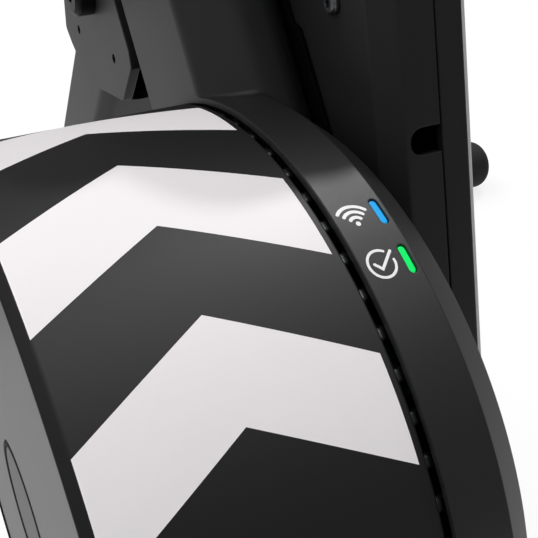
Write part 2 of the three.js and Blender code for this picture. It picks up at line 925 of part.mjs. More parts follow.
function innerCover() {
  const mouth = seam + coverChamfer + cutOverrun;
  const floor = coverLeft + coverWall;
  const wide = hubDistance + coverTopRadius;
  const shell = chamferedPrism(coverOutline(0), coverLeft, mouth, coverChamfer, coverSides);
  const room = chamferedPrism(
    coverOutline(coverWall),
    floor,
    mouth + cutOverrun,
    coverChamfer - coverWall,
    coverSides,
  );
  const beyond = block(seam, mouth + 2 * cutOverrun, -wide, wide, -wide, wide);
  const slot = moved(slotCutter(), ...behindCover(slotRise, 0));
  const screws = [...postPlaces(), rearScrewPlace];
  const bossHole = tensionerBossRadius + fitGap;
  const bare = shell.subtract(room).subtract(beyond).subtract(slot);
  const withShaft = drilled(bare, coverLeft, floor, shaftBearingRadius, [[0, 0]], middleSides);
  const withAxle = drilled(withShaft, coverLeft, floor, spigotRadius, [hub], middleSides);
  const withBoss = drilled(withAxle, coverLeft, floor, bossHole, [tensionerPlace()], smallSides);
  return drilled(withBoss, coverLeft, floor, screwShankRadius + fitGap, screws);
}

// A round-ended slot from the seam into the inner shell, through its rear wall.
function slotCutter() {
  const half = slotHeight / 2;
  const shape = link([-slotLength + half, 0, half], [cutOverrun + half, 0, half]);
  const geometry = new THREE.ExtrudeGeometry(shape, {
    depth: slotDepth,
    bevelEnabled: false,
    curveSegments: endSides,
  });
  geometry.translate(0, 0, -slotDepth / 2);
  const [c, s] = [Math.cos(rearNormal), Math.sin(rearNormal)];
  geometry.applyMatrix4(new THREE.Matrix4().makeBasis(
    new THREE.Vector3(1, 0, 0),
    new THREE.Vector3(0, s, -c),
    new THREE.Vector3(0, c, s),
  ));
  geometry.translate(seam, 0, 0);
  return solidFrom(geometry);
}

function outerCover() {
  const left = seam + fitGap;
  const postLeft = coverLeft + coverWall + fitGap;
  const inside = coverRight - coverWall;
  const screwEnd = coverLeft + screwShankLength + fitGap;
  let cover = prism(coverOutline(0), left, coverRight, coverSides)
    .subtract(prism(coverOutline(coverWall), left - cutOverrun, inside, coverSides));
  for (const at of postPlaces()) {
    cover = cover.add(moved(rod(postLeft, inside + jointSink, screwPostRadius, tinySides), ...at));
  }
  for (const at of postPlaces()) {
    cover = cover.subtract(moved(rod(coverLeft, screwEnd, screwShankRadius + fitGap, tinySides), ...at));
  }
  return drilled(cover, inside, coverRight, pulleyHubRadius + 2 * fitGap, [hub], middleSides);
}

function sidePlate() {
  const right = coverRight + sidePlateThickness;
  const plate = prism(coverOutline(sidePlateInset), coverRight, right, coverSides);
  return drilled(plate, coverRight, right, pulleyHubRadius + coverWall, [hub], middleSides);
}

const rearScrewPlace = behindCover(rearScrewRise, rearScrewInset);

function coverScrew(shankLength) {
  return turned([
    [-screwHeadHeight, 0],
    [-screwHeadHeight, screwHeadRadius],
    [0, screwHeadRadius],
    [0, screwShankRadius],
    [shankLength, screwShankRadius],
    [shankLength, 0],
  ], tinySides);
}

// Hub axle, about its own axis
const axleEnd = dropoutWidth / 2 - axleCapLength;
const freehubLeft = pulleyHubRight + fitGap;
const freehubRight = freehubLeft + freehubLength;
const freehubBearingRight = freehubRight - lockringWidth - fitGap / 2;

function hubAxle() {
  return turned([
    [-axleEnd, axleBore],
    [-axleEnd, axleRadius],
    [housingRight + fitGap, axleRadius],
    [housingRight + fitGap, axleShoulderRadius],
    [coverLeft + coverWall, axleShoulderRadius],
    [coverLeft + coverWall, axleRadius],
    [axleEnd, axleRadius],
    [axleEnd, axleBore],
  ]);
}

// An end cap over the axle's end: the bike's dropout seats on its outer face.
function axleCap(from) {
  const outer = dropoutWidth / 2;
  const seat = axleEnd + fitGap;
  return turned([
    [from, axleRadius + fitGap],
    [from, axleCapRadius],
    [outer, axleCapRadius],
    [outer, axleBore],
    [seat, axleBore],
    [seat, axleRadius + fitGap],
  ]);
}

function freehubBody() {
  const seat = hubBearingRadius + fitGap;
  const pass = axleRadius + 2 * fitGap;
  const step = hubBearingWidth + fitGap;
  return turned([
    [freehubLeft, seat],
    [freehubLeft, freehubRadius],
    [freehubRight, freehubRadius],
    [freehubRight, seat],
    [freehubRight - step - lockringWidth, seat],
    [freehubRight - step - lockringWidth, pass],
    [freehubLeft + step, pass],
    [freehubLeft + step, seat],
  ]);
}

const cassetteLeft = freehubLeft + sprocketThickness;
const cassetteRight = cassetteLeft + sprocketPitch * (sprocketTeeth.length - 1) + sprocketThickness;

function sprocketOutline(teeth) {
  const pitchRadius = chainPitch / (2 * Math.sin(Math.PI / teeth));
  const tip = pitchRadius + sprocketToothHeight / 2;
  const valley = pitchRadius - sprocketToothHeight / 2;
  const shape = new THREE.Shape();
  for (let i = 0; i < teeth; i++) {
    const [valleyY, valleyZ] = polar(valley, (360 * i) / teeth);
    if (i === 0) shape.moveTo(valleyY, valleyZ);
    else shape.lineTo(valleyY, valleyZ);
    shape.lineTo(...polar(tip, (360 * (i + toothTipShare)) / teeth));
  }
  shape.closePath();
  return shape;
}

function cassette() {
  const bore = freehubRadius + fitGap;
  let stack = rod(cassetteLeft, cassetteRight, bore + sprocketCarrierWall);
  sprocketTeeth.forEach((teeth, i) => {
    const left = cassetteLeft + sprocketPitch * i;
    stack = stack.add(prism(sprocketOutline(teeth), left, left + sprocketThickness));
  });
  return drilled(stack, cassetteLeft, cassetteRight, bore, [[0, 0]], middleSides);
}

function lockring() {
  const bore = axleCapRadius + 2 * fitGap;
  const flange = Math.max(cassetteRight, freehubRight) + fitGap;
  return turned([
    [freehubRight - lockringWidth, bore],
    [freehubRight - lockringWidth, hubBearingRadius],
    [flange, hubBearingRadius],
    [flange, lockringRadius],
    [flange + lockringWidth, lockringRadius],
    [flange + lockringWidth, bore],
  ]);
}

// Quick release: the skewer through the axle, a cam lever on the left and a nut on the right
const camFace = -dropoutWidth / 2 - dropoutThickness;
const camAt = camFace - camFloor - fitGap - camRadius;

function skewer() {
  const end = dropoutWidth / 2 + dropoutThickness + skewerNutLength;
  const half = camWidth / 2 + fitGap;
  const wide = skewerNutRadius + cutOverrun;
  const slot = block(camAt - 2 * camRadius, camFace - camFloor, -wide, wide, -half, half);
  return rod(camAt - camRadius / 2, camFace, skewerNutRadius, smallSides)
    .subtract(slot)
    .add(rod(camFace - jointSink, end, skewerRadius, tinySides));
}

function skewerNut() {
  const left = dropoutWidth / 2 + dropoutThickness;
  return tube(left, left + skewerNutLength, skewerNutRadius, skewerRadius + fitGap, tinySides);
}

// The lever about its pivot: the cam's axis is Z and the lever lies along Y.
function leverBody() {
  const cam = new THREE.CylinderGeometry(camRadius, camRadius, camWidth, smallSides);
  cam.rotateX(Math.PI / 2);
  const [inner, half] = [-camRadius, camWidth / 2];
  const arm = link([0, 0, half], [leverLength, 0, leverWidth / 2]);
  return solidFrom(cam)
    .add(block(inner - jointSink, 0, -half, half, -half, half))
    .add(prism(arm, inner - leverThickness, inner));
}

// Carry handle: an arch over the hub, about the hub's axis, on two bosses of the column's head
const backHeading = Math.atan2(back[1], back[0]);
const handleRearAngle = THREE.MathUtils.radToDeg(backHeading);
const handleStart = handleBossReach + fitGap;

function handlePath() {
  const spread = handleRearAngle - handleFrontAngle;
  const rise = handleReach - handleStart;
  const mirrored = handleShares.slice(0, -1).reverse().map(([out, turn]) => [out, 1 - turn]);
  return new THREE.CatmullRomCurve3([...handleShares, ...mirrored].map(([out, turn]) => {
    const [y, z] = polar(handleStart + rise * out, handleRearAngle - spread * turn);
    return new THREE.Vector3(0, y, z);
  }));
}

function handle() {
  const end = handleStart + handleFootThickness;
  return roundTube(handlePath(), handleRadius, smallSides, handleSteps)
    .add(spoke(handleFrontAngle, handleStart, end, handleFootRadius))
    .add(spoke(handleRearAngle, handleStart, end, handleFootRadius));
}

// Legs, cross bars and feet
const legMiddle = (housingLeft + housingRight) / 2;
const boltPlaces = [[mainBoltForward, mainBoltRise], [upperBoltForward, upperBoltRise]];
const frontBarRise = endCapHeight - flywheelHeight;
const rearBarRise = rearBarHeight - flywheelHeight;

// The front leg leans back so that its middle line passes behind the main bolt.
const boltReach = frontBarReach - mainBoltForward;
const boltHeight = mainBoltRise - frontBarRise;
const boltDistance = Math.hypot(boltReach, boltHeight);
const frontLegLean = Math.atan2(boltReach, boltHeight) + Math.asin(mainBoltOffset / boltDistance);
const boltUpLeg = Math.sqrt(boltDistance ** 2 - mainBoltOffset ** 2);

// A point of the cheek plates, from the main bolt, by shares of their reach.
function onCheek([y, z]) {
  return [mainBoltForward + cheekReach * y, mainBoltRise + cheekReach * z];
}

// The leg's tube, hollow from the cross bar up, with a round notch in its rear wall.
function frontLegTube() {
  const top = boltUpLeg - lugRadius - legTopClear;
  const floor = frontBarRadius + legWall;
  const outer = bar(columnWidth, legDepth, legCorner, top - legFootClear);
  outer.translate(0, 0, legFootClear);
  const hollow = bar(
    columnWidth - 2 * legWall,
    legDepth - 2 * legWall,
    legCorner - legWall,
    top - floor + cutOverrun,
  );
  hollow.translate(0, 0, floor);
  const notch = new THREE.CylinderGeometry(notchRadius, notchRadius, legDepth, smallSides);
  notch.translate(0, -legDepth / 2, top);
  for (const geometry of [outer, hollow, notch]) {
    geometry.rotateX(frontLegLean);
    geometry.translate(legMiddle, frontBarReach, frontBarRise);
  }
  return solidFrom(outer).subtract(solidFrom(hollow)).subtract(solidFrom(notch));
}

function frontLeg() {
  const saddle = [[frontBarReach, frontBarRise]];
  const cheek = roundedOutline(cheekShares.map(onCheek), cheekCorner);
  const cheekRight = housingLeft + cheekThickness;
  const barHole = frontBarRadius + fitGap;
  const leg = drilled(frontLegTube(), housingLeft, housingRight, barHole, saddle, middleSides)
    .add(prism(cheek, housingLeft, cheekRight, cornerSides))
    .add(prism(cheek, housingRight - cheekThickness, housingRight, cornerSides));
  const bolted = drilled(leg, housingLeft, housingRight, boltRadius + fitGap, boltPlaces, smallSides);
  return drilled(bolted, housingLeft, cheekRight, cheekHoleRadius, cheekHoleShares.map(onCheek));
}

// A leg bolt through both cheeks and the lug, its round head standing out on the left.
function legBolt() {
  return rod(housingLeft - boltHeadHeight, housingLeft, boltHeadRadius, smallSides)
    .add(rod(housingLeft - jointSink, housingRight - fitGap, boltRadius, tinySides));
}

// The front bar's middle line: straight in the middle and at its ends, swept forward between.
class SweptLine extends THREE.Curve {
  getPoint(t) {
    const x = (2 * t - 1) * frontBarHalf;
    const span = frontBarHalf - frontBarStraight - frontBarMiddle;
    const share = THREE.MathUtils.clamp((Math.abs(x) - frontBarMiddle) / span, 0, 1);
    return new THREE.Vector3(x, frontBarSweep * share * share * (3 - 2 * share), 0);
  }
}

function frontBar() {
  const path = new SweptLine();
  const inside = roundTube(path, frontBarRadius - frontBarWall, middleSides / 2, frontBarSteps);
  return roundTube(path, frontBarRadius, middleSides, frontBarSteps).subtract(inside);
}

function endCap(side) {
  const outer = frontBarHalf + endCapOverhang;
  const inner = outer - endCapLength;
  const seat = frontBarRadius + fitGap;
  const corner = endCapCorner;
  const round = endCapCornerShares.map((share) => {
    const [back, out] = polar(corner, 90 * (1 - share));
    return [outer - corner + back, endCapRadius - corner + out];
  });
  const cap = turned([
    [frontBarHalf + fitGap, 0],
    [frontBarHalf + fitGap, seat],
    [inner, seat],
    [inner, endCapRadius],
    [outer - corner, endCapRadius],
    ...round,
    [outer, endCapRadius - corner],
    [outer, 0],
  ]);
  const wide = endCapRadius + cutOverrun;
  const below = block(inner - cutOverrun, outer + cutOverrun, -wide, wide, -wide, -endCapHeight);
  const flat = cap.subtract(below);
  return side < 0 ? flat.rotate(0, 0, 180) : flat;
}

// The rear leg, from its cross bar up to a saddle on the ring's outside.
function rearLeg() {
  const outer = bar(columnWidth - 2 * rearLegInset, rearLegDepth, legCorner, rearLegLength);
  outer.translate(0, 0, legFootClear);
  outer.rotateX(-radians(columnLean));
  outer.translate(legMiddle, -rearBarReach, rearBarRise);
  const grown = ringRadius + fitGap;
  const ring = turned([
    [housingLeft - fitGap, 0],
    [housingLeft - fitGap, grown],
    [housingLeft + ringWidth, grown - ringTaper],
    [backWallRight + fitGap, grown - ringTaper - bevelDrop],
    [backWallRight + fitGap, 0],
  ], largeSides);
  const saddle = [[-rearBarReach, rearBarRise]];
  const leg = solidFrom(outer).subtract(ring);
  return drilled(leg, housingLeft, housingRight, rearBarRadius + fitGap, saddle, middleSides);
}

const knobPlace = rearBarHalf - knobInset;

function rearBar() {
  const bottom = -rearBarRadius - bossDrop;
  let crossBar = tube(-rearBarHalf, rearBarHalf, rearBarRadius, rearBarRadius - rearBarWall);
  for (const side of [-1, 1]) {
    const boss = rod(bottom, rearBarWall, bossRadius, smallSides).rotate(0, -90, 0);
    const hole = rod(bottom - cutOverrun, rearBarRadius, studRadius + fitGap, tinySides).rotate(0, -90, 0);
    crossBar = crossBar
      .add(boss.translate(side * knobPlace, 0, 0))
      .subtract(hole.translate(side * knobPlace, 0, 0));
  }
  return crossBar;
}

function rearPlug(side) {
  const end = rearBarHalf + rearPlugLength;
  const spigot = rearBarRadius - rearBarWall - fitGap;
  const plug = turned([
    [rearBarHalf - rearPlugSpigot, 0],
    [rearBarHalf - rearPlugSpigot, spigot],
    [rearBarHalf, spigot],
    [rearBarHalf, rearPlugRadius],
    [end - rearBarWall, rearPlugRadius],
    [end, rearPlugRadius - rearBarWall],
    [end, 0],
  ], smallSides);
  return side < 0 ? plug.rotate(0, 0, 180) : plug;
}

// A levelling foot: a lobed knob with a rubber sole and a stud up into the rear bar.
function levellingFoot() {
  const shape = new THREE.Shape();
  const steps = knobLobeSteps * knobLobes;
  for (let i = 0; i < steps; i++) {
    const turn = (360 * i) / steps;
    const dip = (1 - Math.cos(radians(knobLobes * turn))) / 2;
    const [y, z] = polar(knobRadius - knobLobeDepth * dip, turn);
    if (i === 0) shape.moveTo(y, z);
    else shape.lineTo(y, z);
  }
  shape.closePath();
  const stud = rod(knobHeight - jointSink, knobHeight + studLength, studRadius, tinySides);
  return prism(shape, 0, knobHeight).add(stud).rotate(0, -90, 0);
}

function facePlate() {
  return tube(drumLeft, webLeft, facePlateRadius, centreCapRadius + 2 * fitGap, largeSides);
}

function centreCap() {
  return rod(drumLeft, drumLeft + centreCapThickness - fitGap, centreCapRadius);
}

function brakeRing() {
  const left = webRight + fitGap;
  const outside = drumInside - fitGap;
  return tube(left, left + brakeRingWidth, outside, outside - brakeRingThickness, largeSides);
}

function flywheelNut() {
  const nut = prism(hexagon(shaftNutRadius), nutSeat - shaftNutWidth, nutSeat);
  return drilled(nut, nutSeat - shaftNutWidth, nutSeat, shaftRadius + fitGap, [[0, 0]], middleSides);
}

function idler() {
  return tube(armRight + fitGap, pulleyRight, idlerRadius, idlerPinRadius + fitGap, smallSides);
}

function shaftBearing(left) {
  return bearing(left, shaftBearingWidth, shaftBearingRadius, shaftRadius + fitGap);
}

function hubBearing(left) {
  return bearing(left, hubBearingWidth, hubBearingRadius, axleRadius + fitGap);
}

const inletPlace = polar(ringRadius - inletInset, inletAngle);

// The whole trainer, in a group whose origin is on the flywheel's axis
const trainer = groupAt(0, flywheelForward, flywheelHeight,
  piece("main_housing", housing(), blackCasting),
  piece("shaft_bearing_left", shaftBearing(bearingLeft), brightSteel),
  piece("shaft_bearing_right", shaftBearing(bearingRight), brightSteel),
  piece("link_lens", lensBlock(lensPlace(linkLensAngle), lensProud, 0), blueLens),
  piece("ready_lens", lensBlock(lensPlace(readyLensAngle), lensProud, 0), greenLens),
  groupAt(0, ...inletPlace, piece("power_inlet", powerInlet(), blackPlastic)),
);

// Flywheel and brake
trainer.add(
  piece("flywheel_drum", flywheelDrum(), drumPaint),
  piece("flywheel_face_plate", facePlate(), greyFace),
  piece("flywheel_centre_cap", centreCap(), greyFace),
  piece("brake_ring", brakeRing(), copper),
  piece("flywheel_shaft", flywheelShaft(), brightSteel),
  piece("flywheel_nut", flywheelNut(), brightSteel),
  piece("small_pulley", smallPulley(), brightSteel),
  piece("stator_core", statorCore(), darkSteel),
);
for (let i = 0; i < poleCount; i++) {
  trainer.add(piece(`stator_coil_${i + 1}`, coil((360 * i) / poleCount), copper));
}
const boardPlace = polar(boardDistance, 90 + boardTurn);
const board = groupAt(0, ...boardPlace, piece("control_board", controlBoard(), boardGreen));
board.rotation.x = radians(boardTurn);
trainer.add(board);

// Belt drive and its cover
trainer.add(
  piece("inner_belt_cover", innerCover(), blackPlastic),
  piece("outer_belt_cover", outerCover(), blackPlastic),
  piece("cover_side_plate", sidePlate(), paleEdge),
  piece("drive_belt", belt(), blackRubber),
  groupAt(
    0,
    ...tensionerPlace(),
    piece("tensioner_arm", tensionerArm(), darkSteel),
    piece("tensioner_bolt", tensionerBolt(), brightSteel),
  ),
  groupAt(0, ...idlerAt, piece("tensioner_idler", idler(), brightSteel)),
);
[...postPlaces(), rearScrewPlace].forEach((at, i) => {
  const head = i < castScrewCount ? backWallLeft : coverLeft;
  const grip = i < castScrewCount + 1 ? screwShankLength : coverWall;
  const screw = coverScrew(coverLeft - head + grip);
  trainer.add(groupAt(head, ...at, piece(`cover_screw_${i + 1}`, screw, brightSteel)));
});

// Hub, in a group on its own axis
const quickRelease = groupAt(0, 0, 0,
  piece("quick_release_skewer", skewer(), brightSteel),
  groupAt(camAt, 0, 0, piece("quick_release_lever", leverBody(), blackCasting)),
);
quickRelease.rotation.x = backHeading;
trainer.add(groupAt(0, ...hub,
  piece("hub_axle", hubAxle(), brightSteel),
  piece("drive_pulley", drivePulley(), pulleyAlloy),
  piece("pulley_bearing_left", hubBearing(coverLeft + coverWall + 2 * fitGap), brightSteel),
  piece("pulley_bearing_right", hubBearing(pulleyHubRight - hubBearingWidth - fitGap / 2), brightSteel),
  piece("freehub_body", freehubBody(), brightSteel),
  piece("freehub_bearing_inner", hubBearing(freehubLeft + fitGap / 2), brightSteel),
  piece("freehub_bearing_outer", hubBearing(freehubBearingRight - hubBearingWidth), brightSteel),
  piece("cassette", cassette(), brightSteel),
  piece("cassette_lockring", lockring(), darkSteel),
  piece("axle_cap_right", axleCap(freehubRight - lockringWidth + fitGap), brightSteel),
  piece("axle_cap_left", axleCap(-housingLeft + fitGap).rotate(0, 0, 180), brightSteel),
  piece("quick_release_nut", skewerNut(), brightSteel),
  groupAt(legMiddle, 0, 0, piece("carry_handle", handle(), blackPlastic)),
  quickRelease,
));

// Stand: the legs, and each cross bar with its feet in a group on the bar's own axis
trainer.add(
  piece("front_leg", frontLeg(), blackSteel),
  piece("rear_leg", rearLeg(), blackSteel),
  groupAt(0, ...boltPlaces[0], piece("leg_bolt_main", legBolt(), darkSteel)),
  groupAt(0, ...boltPlaces[1], piece("leg_bolt_upper", legBolt(), darkSteel)),
);
const frontFoot = groupAt(0, frontBarReach, frontBarRise, piece("front_cross_bar", frontBar(), blackSteel));
const rearFoot = groupAt(0, -rearBarReach, rearBarRise, piece("rear_cross_bar", rearBar(), blackSteel));
for (const [name, side] of [["left", -1], ["right", 1]]) {
  const knob = piece(`levelling_foot_${name}`, levellingFoot(), blackRubber);
  frontFoot.add(groupAt(0, frontBarSweep, 0, piece(`front_end_cap_${name}`, endCap(side), blackRubber)));
  rearFoot.add(piece(`rear_end_plug_${name}`, rearPlug(side), blackPlastic));
  rearFoot.add(groupAt(side * knobPlace, 0, -rearBarHeight, knob));
}
trainer.add(frontFoot, rearFoot);

export default trainer;
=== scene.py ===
"""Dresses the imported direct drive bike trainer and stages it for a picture.

Shapes are drawn in millimetres about the flywheel's axis and placed in the frame's metres.
+X is the drive side, +Y is forward and +Z is up.
"""

import math

import bmesh
import bpy
from mathutils import Matrix, Vector


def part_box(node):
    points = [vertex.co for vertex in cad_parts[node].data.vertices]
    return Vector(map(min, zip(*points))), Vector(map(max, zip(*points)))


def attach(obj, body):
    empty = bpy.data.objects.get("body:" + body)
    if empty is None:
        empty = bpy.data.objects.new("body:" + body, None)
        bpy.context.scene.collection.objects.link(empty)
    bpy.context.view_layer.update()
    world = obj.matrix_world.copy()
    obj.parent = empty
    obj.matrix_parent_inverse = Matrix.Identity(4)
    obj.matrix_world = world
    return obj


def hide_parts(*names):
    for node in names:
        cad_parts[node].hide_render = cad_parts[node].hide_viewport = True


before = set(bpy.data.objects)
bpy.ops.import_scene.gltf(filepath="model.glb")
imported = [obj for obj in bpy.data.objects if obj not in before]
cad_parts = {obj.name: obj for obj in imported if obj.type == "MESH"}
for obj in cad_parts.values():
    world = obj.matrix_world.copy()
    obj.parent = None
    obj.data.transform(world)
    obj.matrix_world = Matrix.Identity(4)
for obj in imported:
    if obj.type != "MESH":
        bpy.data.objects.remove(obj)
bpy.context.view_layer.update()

bl_info = {
    "name": "Direct drive bike trainer",
    "version": (1, 0, 0),
    "blender": (4, 5, 0),
    "location": "View3D > Sidebar > Trainer",
    "description": "Dresses the packed direct drive bike trainer and stages it",
    "category": "Object",
}

MM = 0.001


def centre(node):
    """The middle of a CAD node's box."""
    low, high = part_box(node)
    return (low + high) / 2


AXIS = Vector((0, centre("flywheel_drum").y, centre("flywheel_drum").z))
TO_FRAME = Matrix.Translation(AXIS) @ Matrix.Scale(MM, 4)


def local_box(node):
    """A CAD node's box in millimetres about the flywheel's axis."""
    low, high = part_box(node)
    return (low - AXIS) / MM, (high - AXIS) / MM


def local_centre(node):
    """The middle of that box."""
    low, high = local_box(node)
    return (low + high) / 2


HUB = (local_centre("hub_axle").y, local_centre("hub_axle").z)
DRUM = local_box("flywheel_drum")
HOUSING_LEFT = local_box("front_leg")[0].x
HOUSING_RIGHT = local_box("front_leg")[1].x
LEG_MIDDLE = (HOUSING_LEFT + HOUSING_RIGHT) / 2
# The column leans by this from upright. UP runs along it and BACK points out of its rear.
LEAN = math.radians(36.4)
UP = (math.sin(LEAN), math.cos(LEAN))
BACK = (-UP[1], UP[0])
# The clearance between pieces that don't touch
GAP = 0.3


# Outlines: lists of points in a plane

def rounded(corners, turn=12):
    """A closed outline of (a, b) or (a, b, radius) corners, each rounded by its radius."""
    points = []
    count = len(corners)
    for i, corner in enumerate(corners):
        here = Vector(corner[:2])
        radius = corner[2] if len(corner) > 2 else 0
        before = Vector(corners[i - 1][:2]) - here
        after = Vector(corners[(i + 1) % count][:2]) - here
        if radius <= 0 or before.length < 1e-9 or after.length < 1e-9:
            points.append(tuple(here))
            continue
        u, v = before.normalized(), after.normalized()
        opening = u.angle(v)
        if opening > math.pi - 1e-3:
            points.append(tuple(here))
            continue
        reach = min(radius / math.tan(opening / 2), 0.49 * before.length, 0.49 * after.length)
        fitted = reach * math.tan(opening / 2)
        middle = here + (u + v).normalized() * (fitted / math.sin(opening / 2))
        start, end = here + u * reach - middle, here + v * reach - middle
        sweep = math.pi - opening
        steps = max(2, math.ceil(math.degrees(sweep) / turn))
        for k in range(steps + 1):
            share = k / steps
            p = (
                start * math.sin((1 - share) * sweep) + end * math.sin(share * sweep)
            ) / math.sin(sweep)
            points.append(tuple(middle + p))
    return points


def circle(radius, sides, at=(0, 0)):
    """Evenly spaced points round a circle."""
    return [
        (at[0] + radius * math.cos(math.tau * i / sides),
         at[1] + radius * math.sin(math.tau * i / sides))
        for i in range(sides)
    ]


def arc_points(radius, begin, end, steps=24, at=(0, 0)):
    """Points along an arc between two headings in degrees."""
    return [
        (at[0] + radius * math.cos(math.radians(begin + (end - begin) * i / steps)),
         at[1] + radius * math.sin(math.radians(begin + (end - begin) * i / steps)))
        for i in range(steps + 1)
    ]


def band(first, first_radius, second, second_radius, steps=40):
    """The outline of a band around two circles."""
    run = Vector(second) - Vector(first)
    heading = math.atan2(run.y, run.x)
    wrap = math.acos((first_radius - second_radius) / run.length)
    points = []
    for (a, b), radius, begin, end in (
        (first, first_radius, heading + wrap, heading - wrap + math.tau),
        (second, second_radius, heading - wrap, heading + wrap),
    ):
        for i in range(steps + 1):
            turn = begin + (end - begin) * i / steps
            points.append((a + radius * math.cos(turn), b + radius * math.sin(turn)))
    return points


def shrinking(points):
    """A function that gives the outline drawn in by a distance."""
    count = len(points)
    area = sum(
        points[i][0] * points[(i + 1) % count][1] - points[(i + 1) % count][0] * points[i][1]
        for i in range(count)
    )
    side = 1 if area > 0 else -1
    inwards = []
    for i in range(count):
        here = Vector(points[i])
        before = (here - Vector(points[i - 1])).normalized()
        after = (Vector(points[(i + 1) % count]) - here).normalized()
        a = Vector((-before.y, before.x)) * side
        b = Vector((-after.y, after.x)) * side
        mitre = a + b
        mitre = mitre / max(mitre.dot(a), 0.3) if mitre.length > 1e-6 else a
        inwards.append(mitre)
    return lambda inset: [
        (p[0] + d.x * inset, p[1] + d.y * inset) for p, d in zip(points, inwards)
    ]


# Shells: (corners, faces) of a closed skin

def skin(rings, closed=False):
    """A skin over rings of points. It joins its last ring to its first, or caps both ends."""
    size = len(rings[0])
    corners = [tuple(p) for ring in rings for p in ring]
    faces = []
    for i in range(len(rings) if closed else len(rings) - 1):
        here, there = i * size, (i + 1) % len(rings) * size
        for j in range(size):
            k = (j + 1) % size
            faces.append((here + j, here + k, there + k, there + j))
    if not closed:
        faces.append(tuple(reversed(range(size))))
        faces.append(tuple(range(len(corners) - size, len(corners))))
    return corners, faces


def lathe(profile, sides=96, at=(0, 0)):
    """A body turned about a line along X, from (x, radius) points."""
    rings = [[(x, y, z) for y, z in circle(radius, sides, at)] for x, radius in profile]
    return skin(rings, closed=profile[0][1] > 0)


def slab(outline, left, right, left_round=0.0, right_round=0.0, steps=6):
    """A plate along X from left to right, with rounded edges; outline(inset) gives its shape."""
    levels = []
    for i in range(steps + 1 if left_round else 1):
        turn = math.pi / 2 * i / steps
        levels.append((left + left_round * (1 - math.cos(turn)), left_round * (1 - math.sin(turn))))
    for i in reversed(range(steps + 1 if right_round else 1)):
        turn = math.pi / 2 * i / steps
        levels.append(
            (right - right_round * (1 - math.cos(turn)), right_round * (1 - math.sin(turn)))
        )
    return stack(outline, levels)


def stack(outline, levels):
    """A skin through outline(inset) at each (x, inset) level."""
    return skin([[(x, y, z) for y, z in outline(inset)] for x, inset in levels])


def sweep(path, radii, sides=32):
    """A round tube along a path of points, with its radius at each."""
    path = [Vector(p) for p in path]
    rings = []
    normal = None
    for i, p in enumerate(path):
        ahead = (path[min(i + 1, len(path) - 1)] - path[max(i - 1, 0)]).normalized()
        if normal is None:
            normal = ahead.orthogonal().normalized()
        normal = (normal - ahead * normal.dot(ahead)).normalized()
        across = ahead.cross(normal)
        rings.append([
            p + normal * (radii[i] * math.cos(math.tau * j / sides))
            + across * (radii[i] * math.sin(math.tau * j / sides))
            for j in range(sides)
        ])
    return skin(rings)


def placed(shell, matrix):
    corners, faces = shell
    return [tuple(matrix @ Vector(p)) for p in corners], faces


def shifted(shell, x=0.0, y=0.0, z=0.0):
    return placed(shell, Matrix.Translation((x, y, z)))


def upright(shell):
    """Turns a shell drawn along X so that it stands along Z."""
    return placed(shell, Matrix.Rotation(-math.pi / 2, 4, "Y"))


def along(place, lean):
    """From a shell drawn along Z at the origin to a bar at a place, leaning back by an angle."""
    return Matrix.Translation(place) @ Matrix.Rotation(lean, 4, "X")


# Blender objects

def raw_object(name, shells):
    """An object from shells, with loose corners merged and its faces turned outwards."""
    mesh = bpy.data.meshes.new(name)
    corners, faces = [], []
    for some_corners, some_faces in shells:
        start = len(corners)
        corners += some_corners
        faces += [tuple(start + k for k in face) for face in some_faces]
    mesh.from_pydata(corners, [], faces)
    work = bmesh.new()
    work.from_mesh(mesh)
    bmesh.ops.remove_doubles(work, verts=work.verts, dist=1e-4)
    bmesh.ops.dissolve_degenerate(work, edges=work.edges, dist=1e-4)
    bmesh.ops.recalc_face_normals(work, faces=work.faces)
    work.to_mesh(mesh)
    work.free()
    body = bpy.data.objects.new(name, mesh)
    bpy.context.scene.collection.objects.link(body)
    return body


def applied(body, kind, **settings):
    """Adds a modifier to an object and applies it."""
    modifier = body.modifiers.new(kind.lower(), kind)
    for key, value in settings.items():
        setattr(modifier, key, value)
    graph = bpy.context.evaluated_depsgraph_get()
    made = bpy.data.meshes.new_from_object(body.evaluated_get(graph))
    body.modifiers.clear()
    old = body.data
    body.data = made
    bpy.data.meshes.remove(old)


def combined(body, shell, operation):
    """Joins a shell to an object, or cuts it out."""
    tool = raw_object("tool", [shell])
    applied(body, "BOOLEAN", object=tool, operation=operation, solver="EXACT")
    mesh = tool.data
    bpy.data.objects.remove(tool)
    bpy.data.meshes.remove(mesh)


def make(name, shells, body, material, slot=None, nodes=None,
         trim=(), joined=(), cut=(), sharp=32):
    """A piece of the trainer, from shells in millimetres, that rides on a body."""
    made = raw_object(name, shells)
    for shell in trim:
        combined(made, shell, "DIFFERENCE")
    for shell in joined:
        combined(made, shell, "UNION")
    for shell in cut:
        combined(made, shell, "DIFFERENCE")
    if not made.data.polygons:
        raise RuntimeError(name + " came out empty")
    made.data.transform(TO_FRAME)
    made.data.shade_smooth()
    made.data.set_sharp_from_angle(angle=math.radians(sharp))
    applied(made, "WEIGHTED_NORMAL", keep_sharp=True, weight=80)
    made.data.name = name
    made.data.materials.clear()
    made.data.materials.append(material)
    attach(made, body)
    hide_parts(*([name] if nodes is None else nodes))
    return made


def finish_node(node, material):
    """Gives a CAD node that keeps its shape a better finish."""
    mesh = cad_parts[node].data
    mesh.materials.clear()
    mesh.materials.append(material)


# Materials

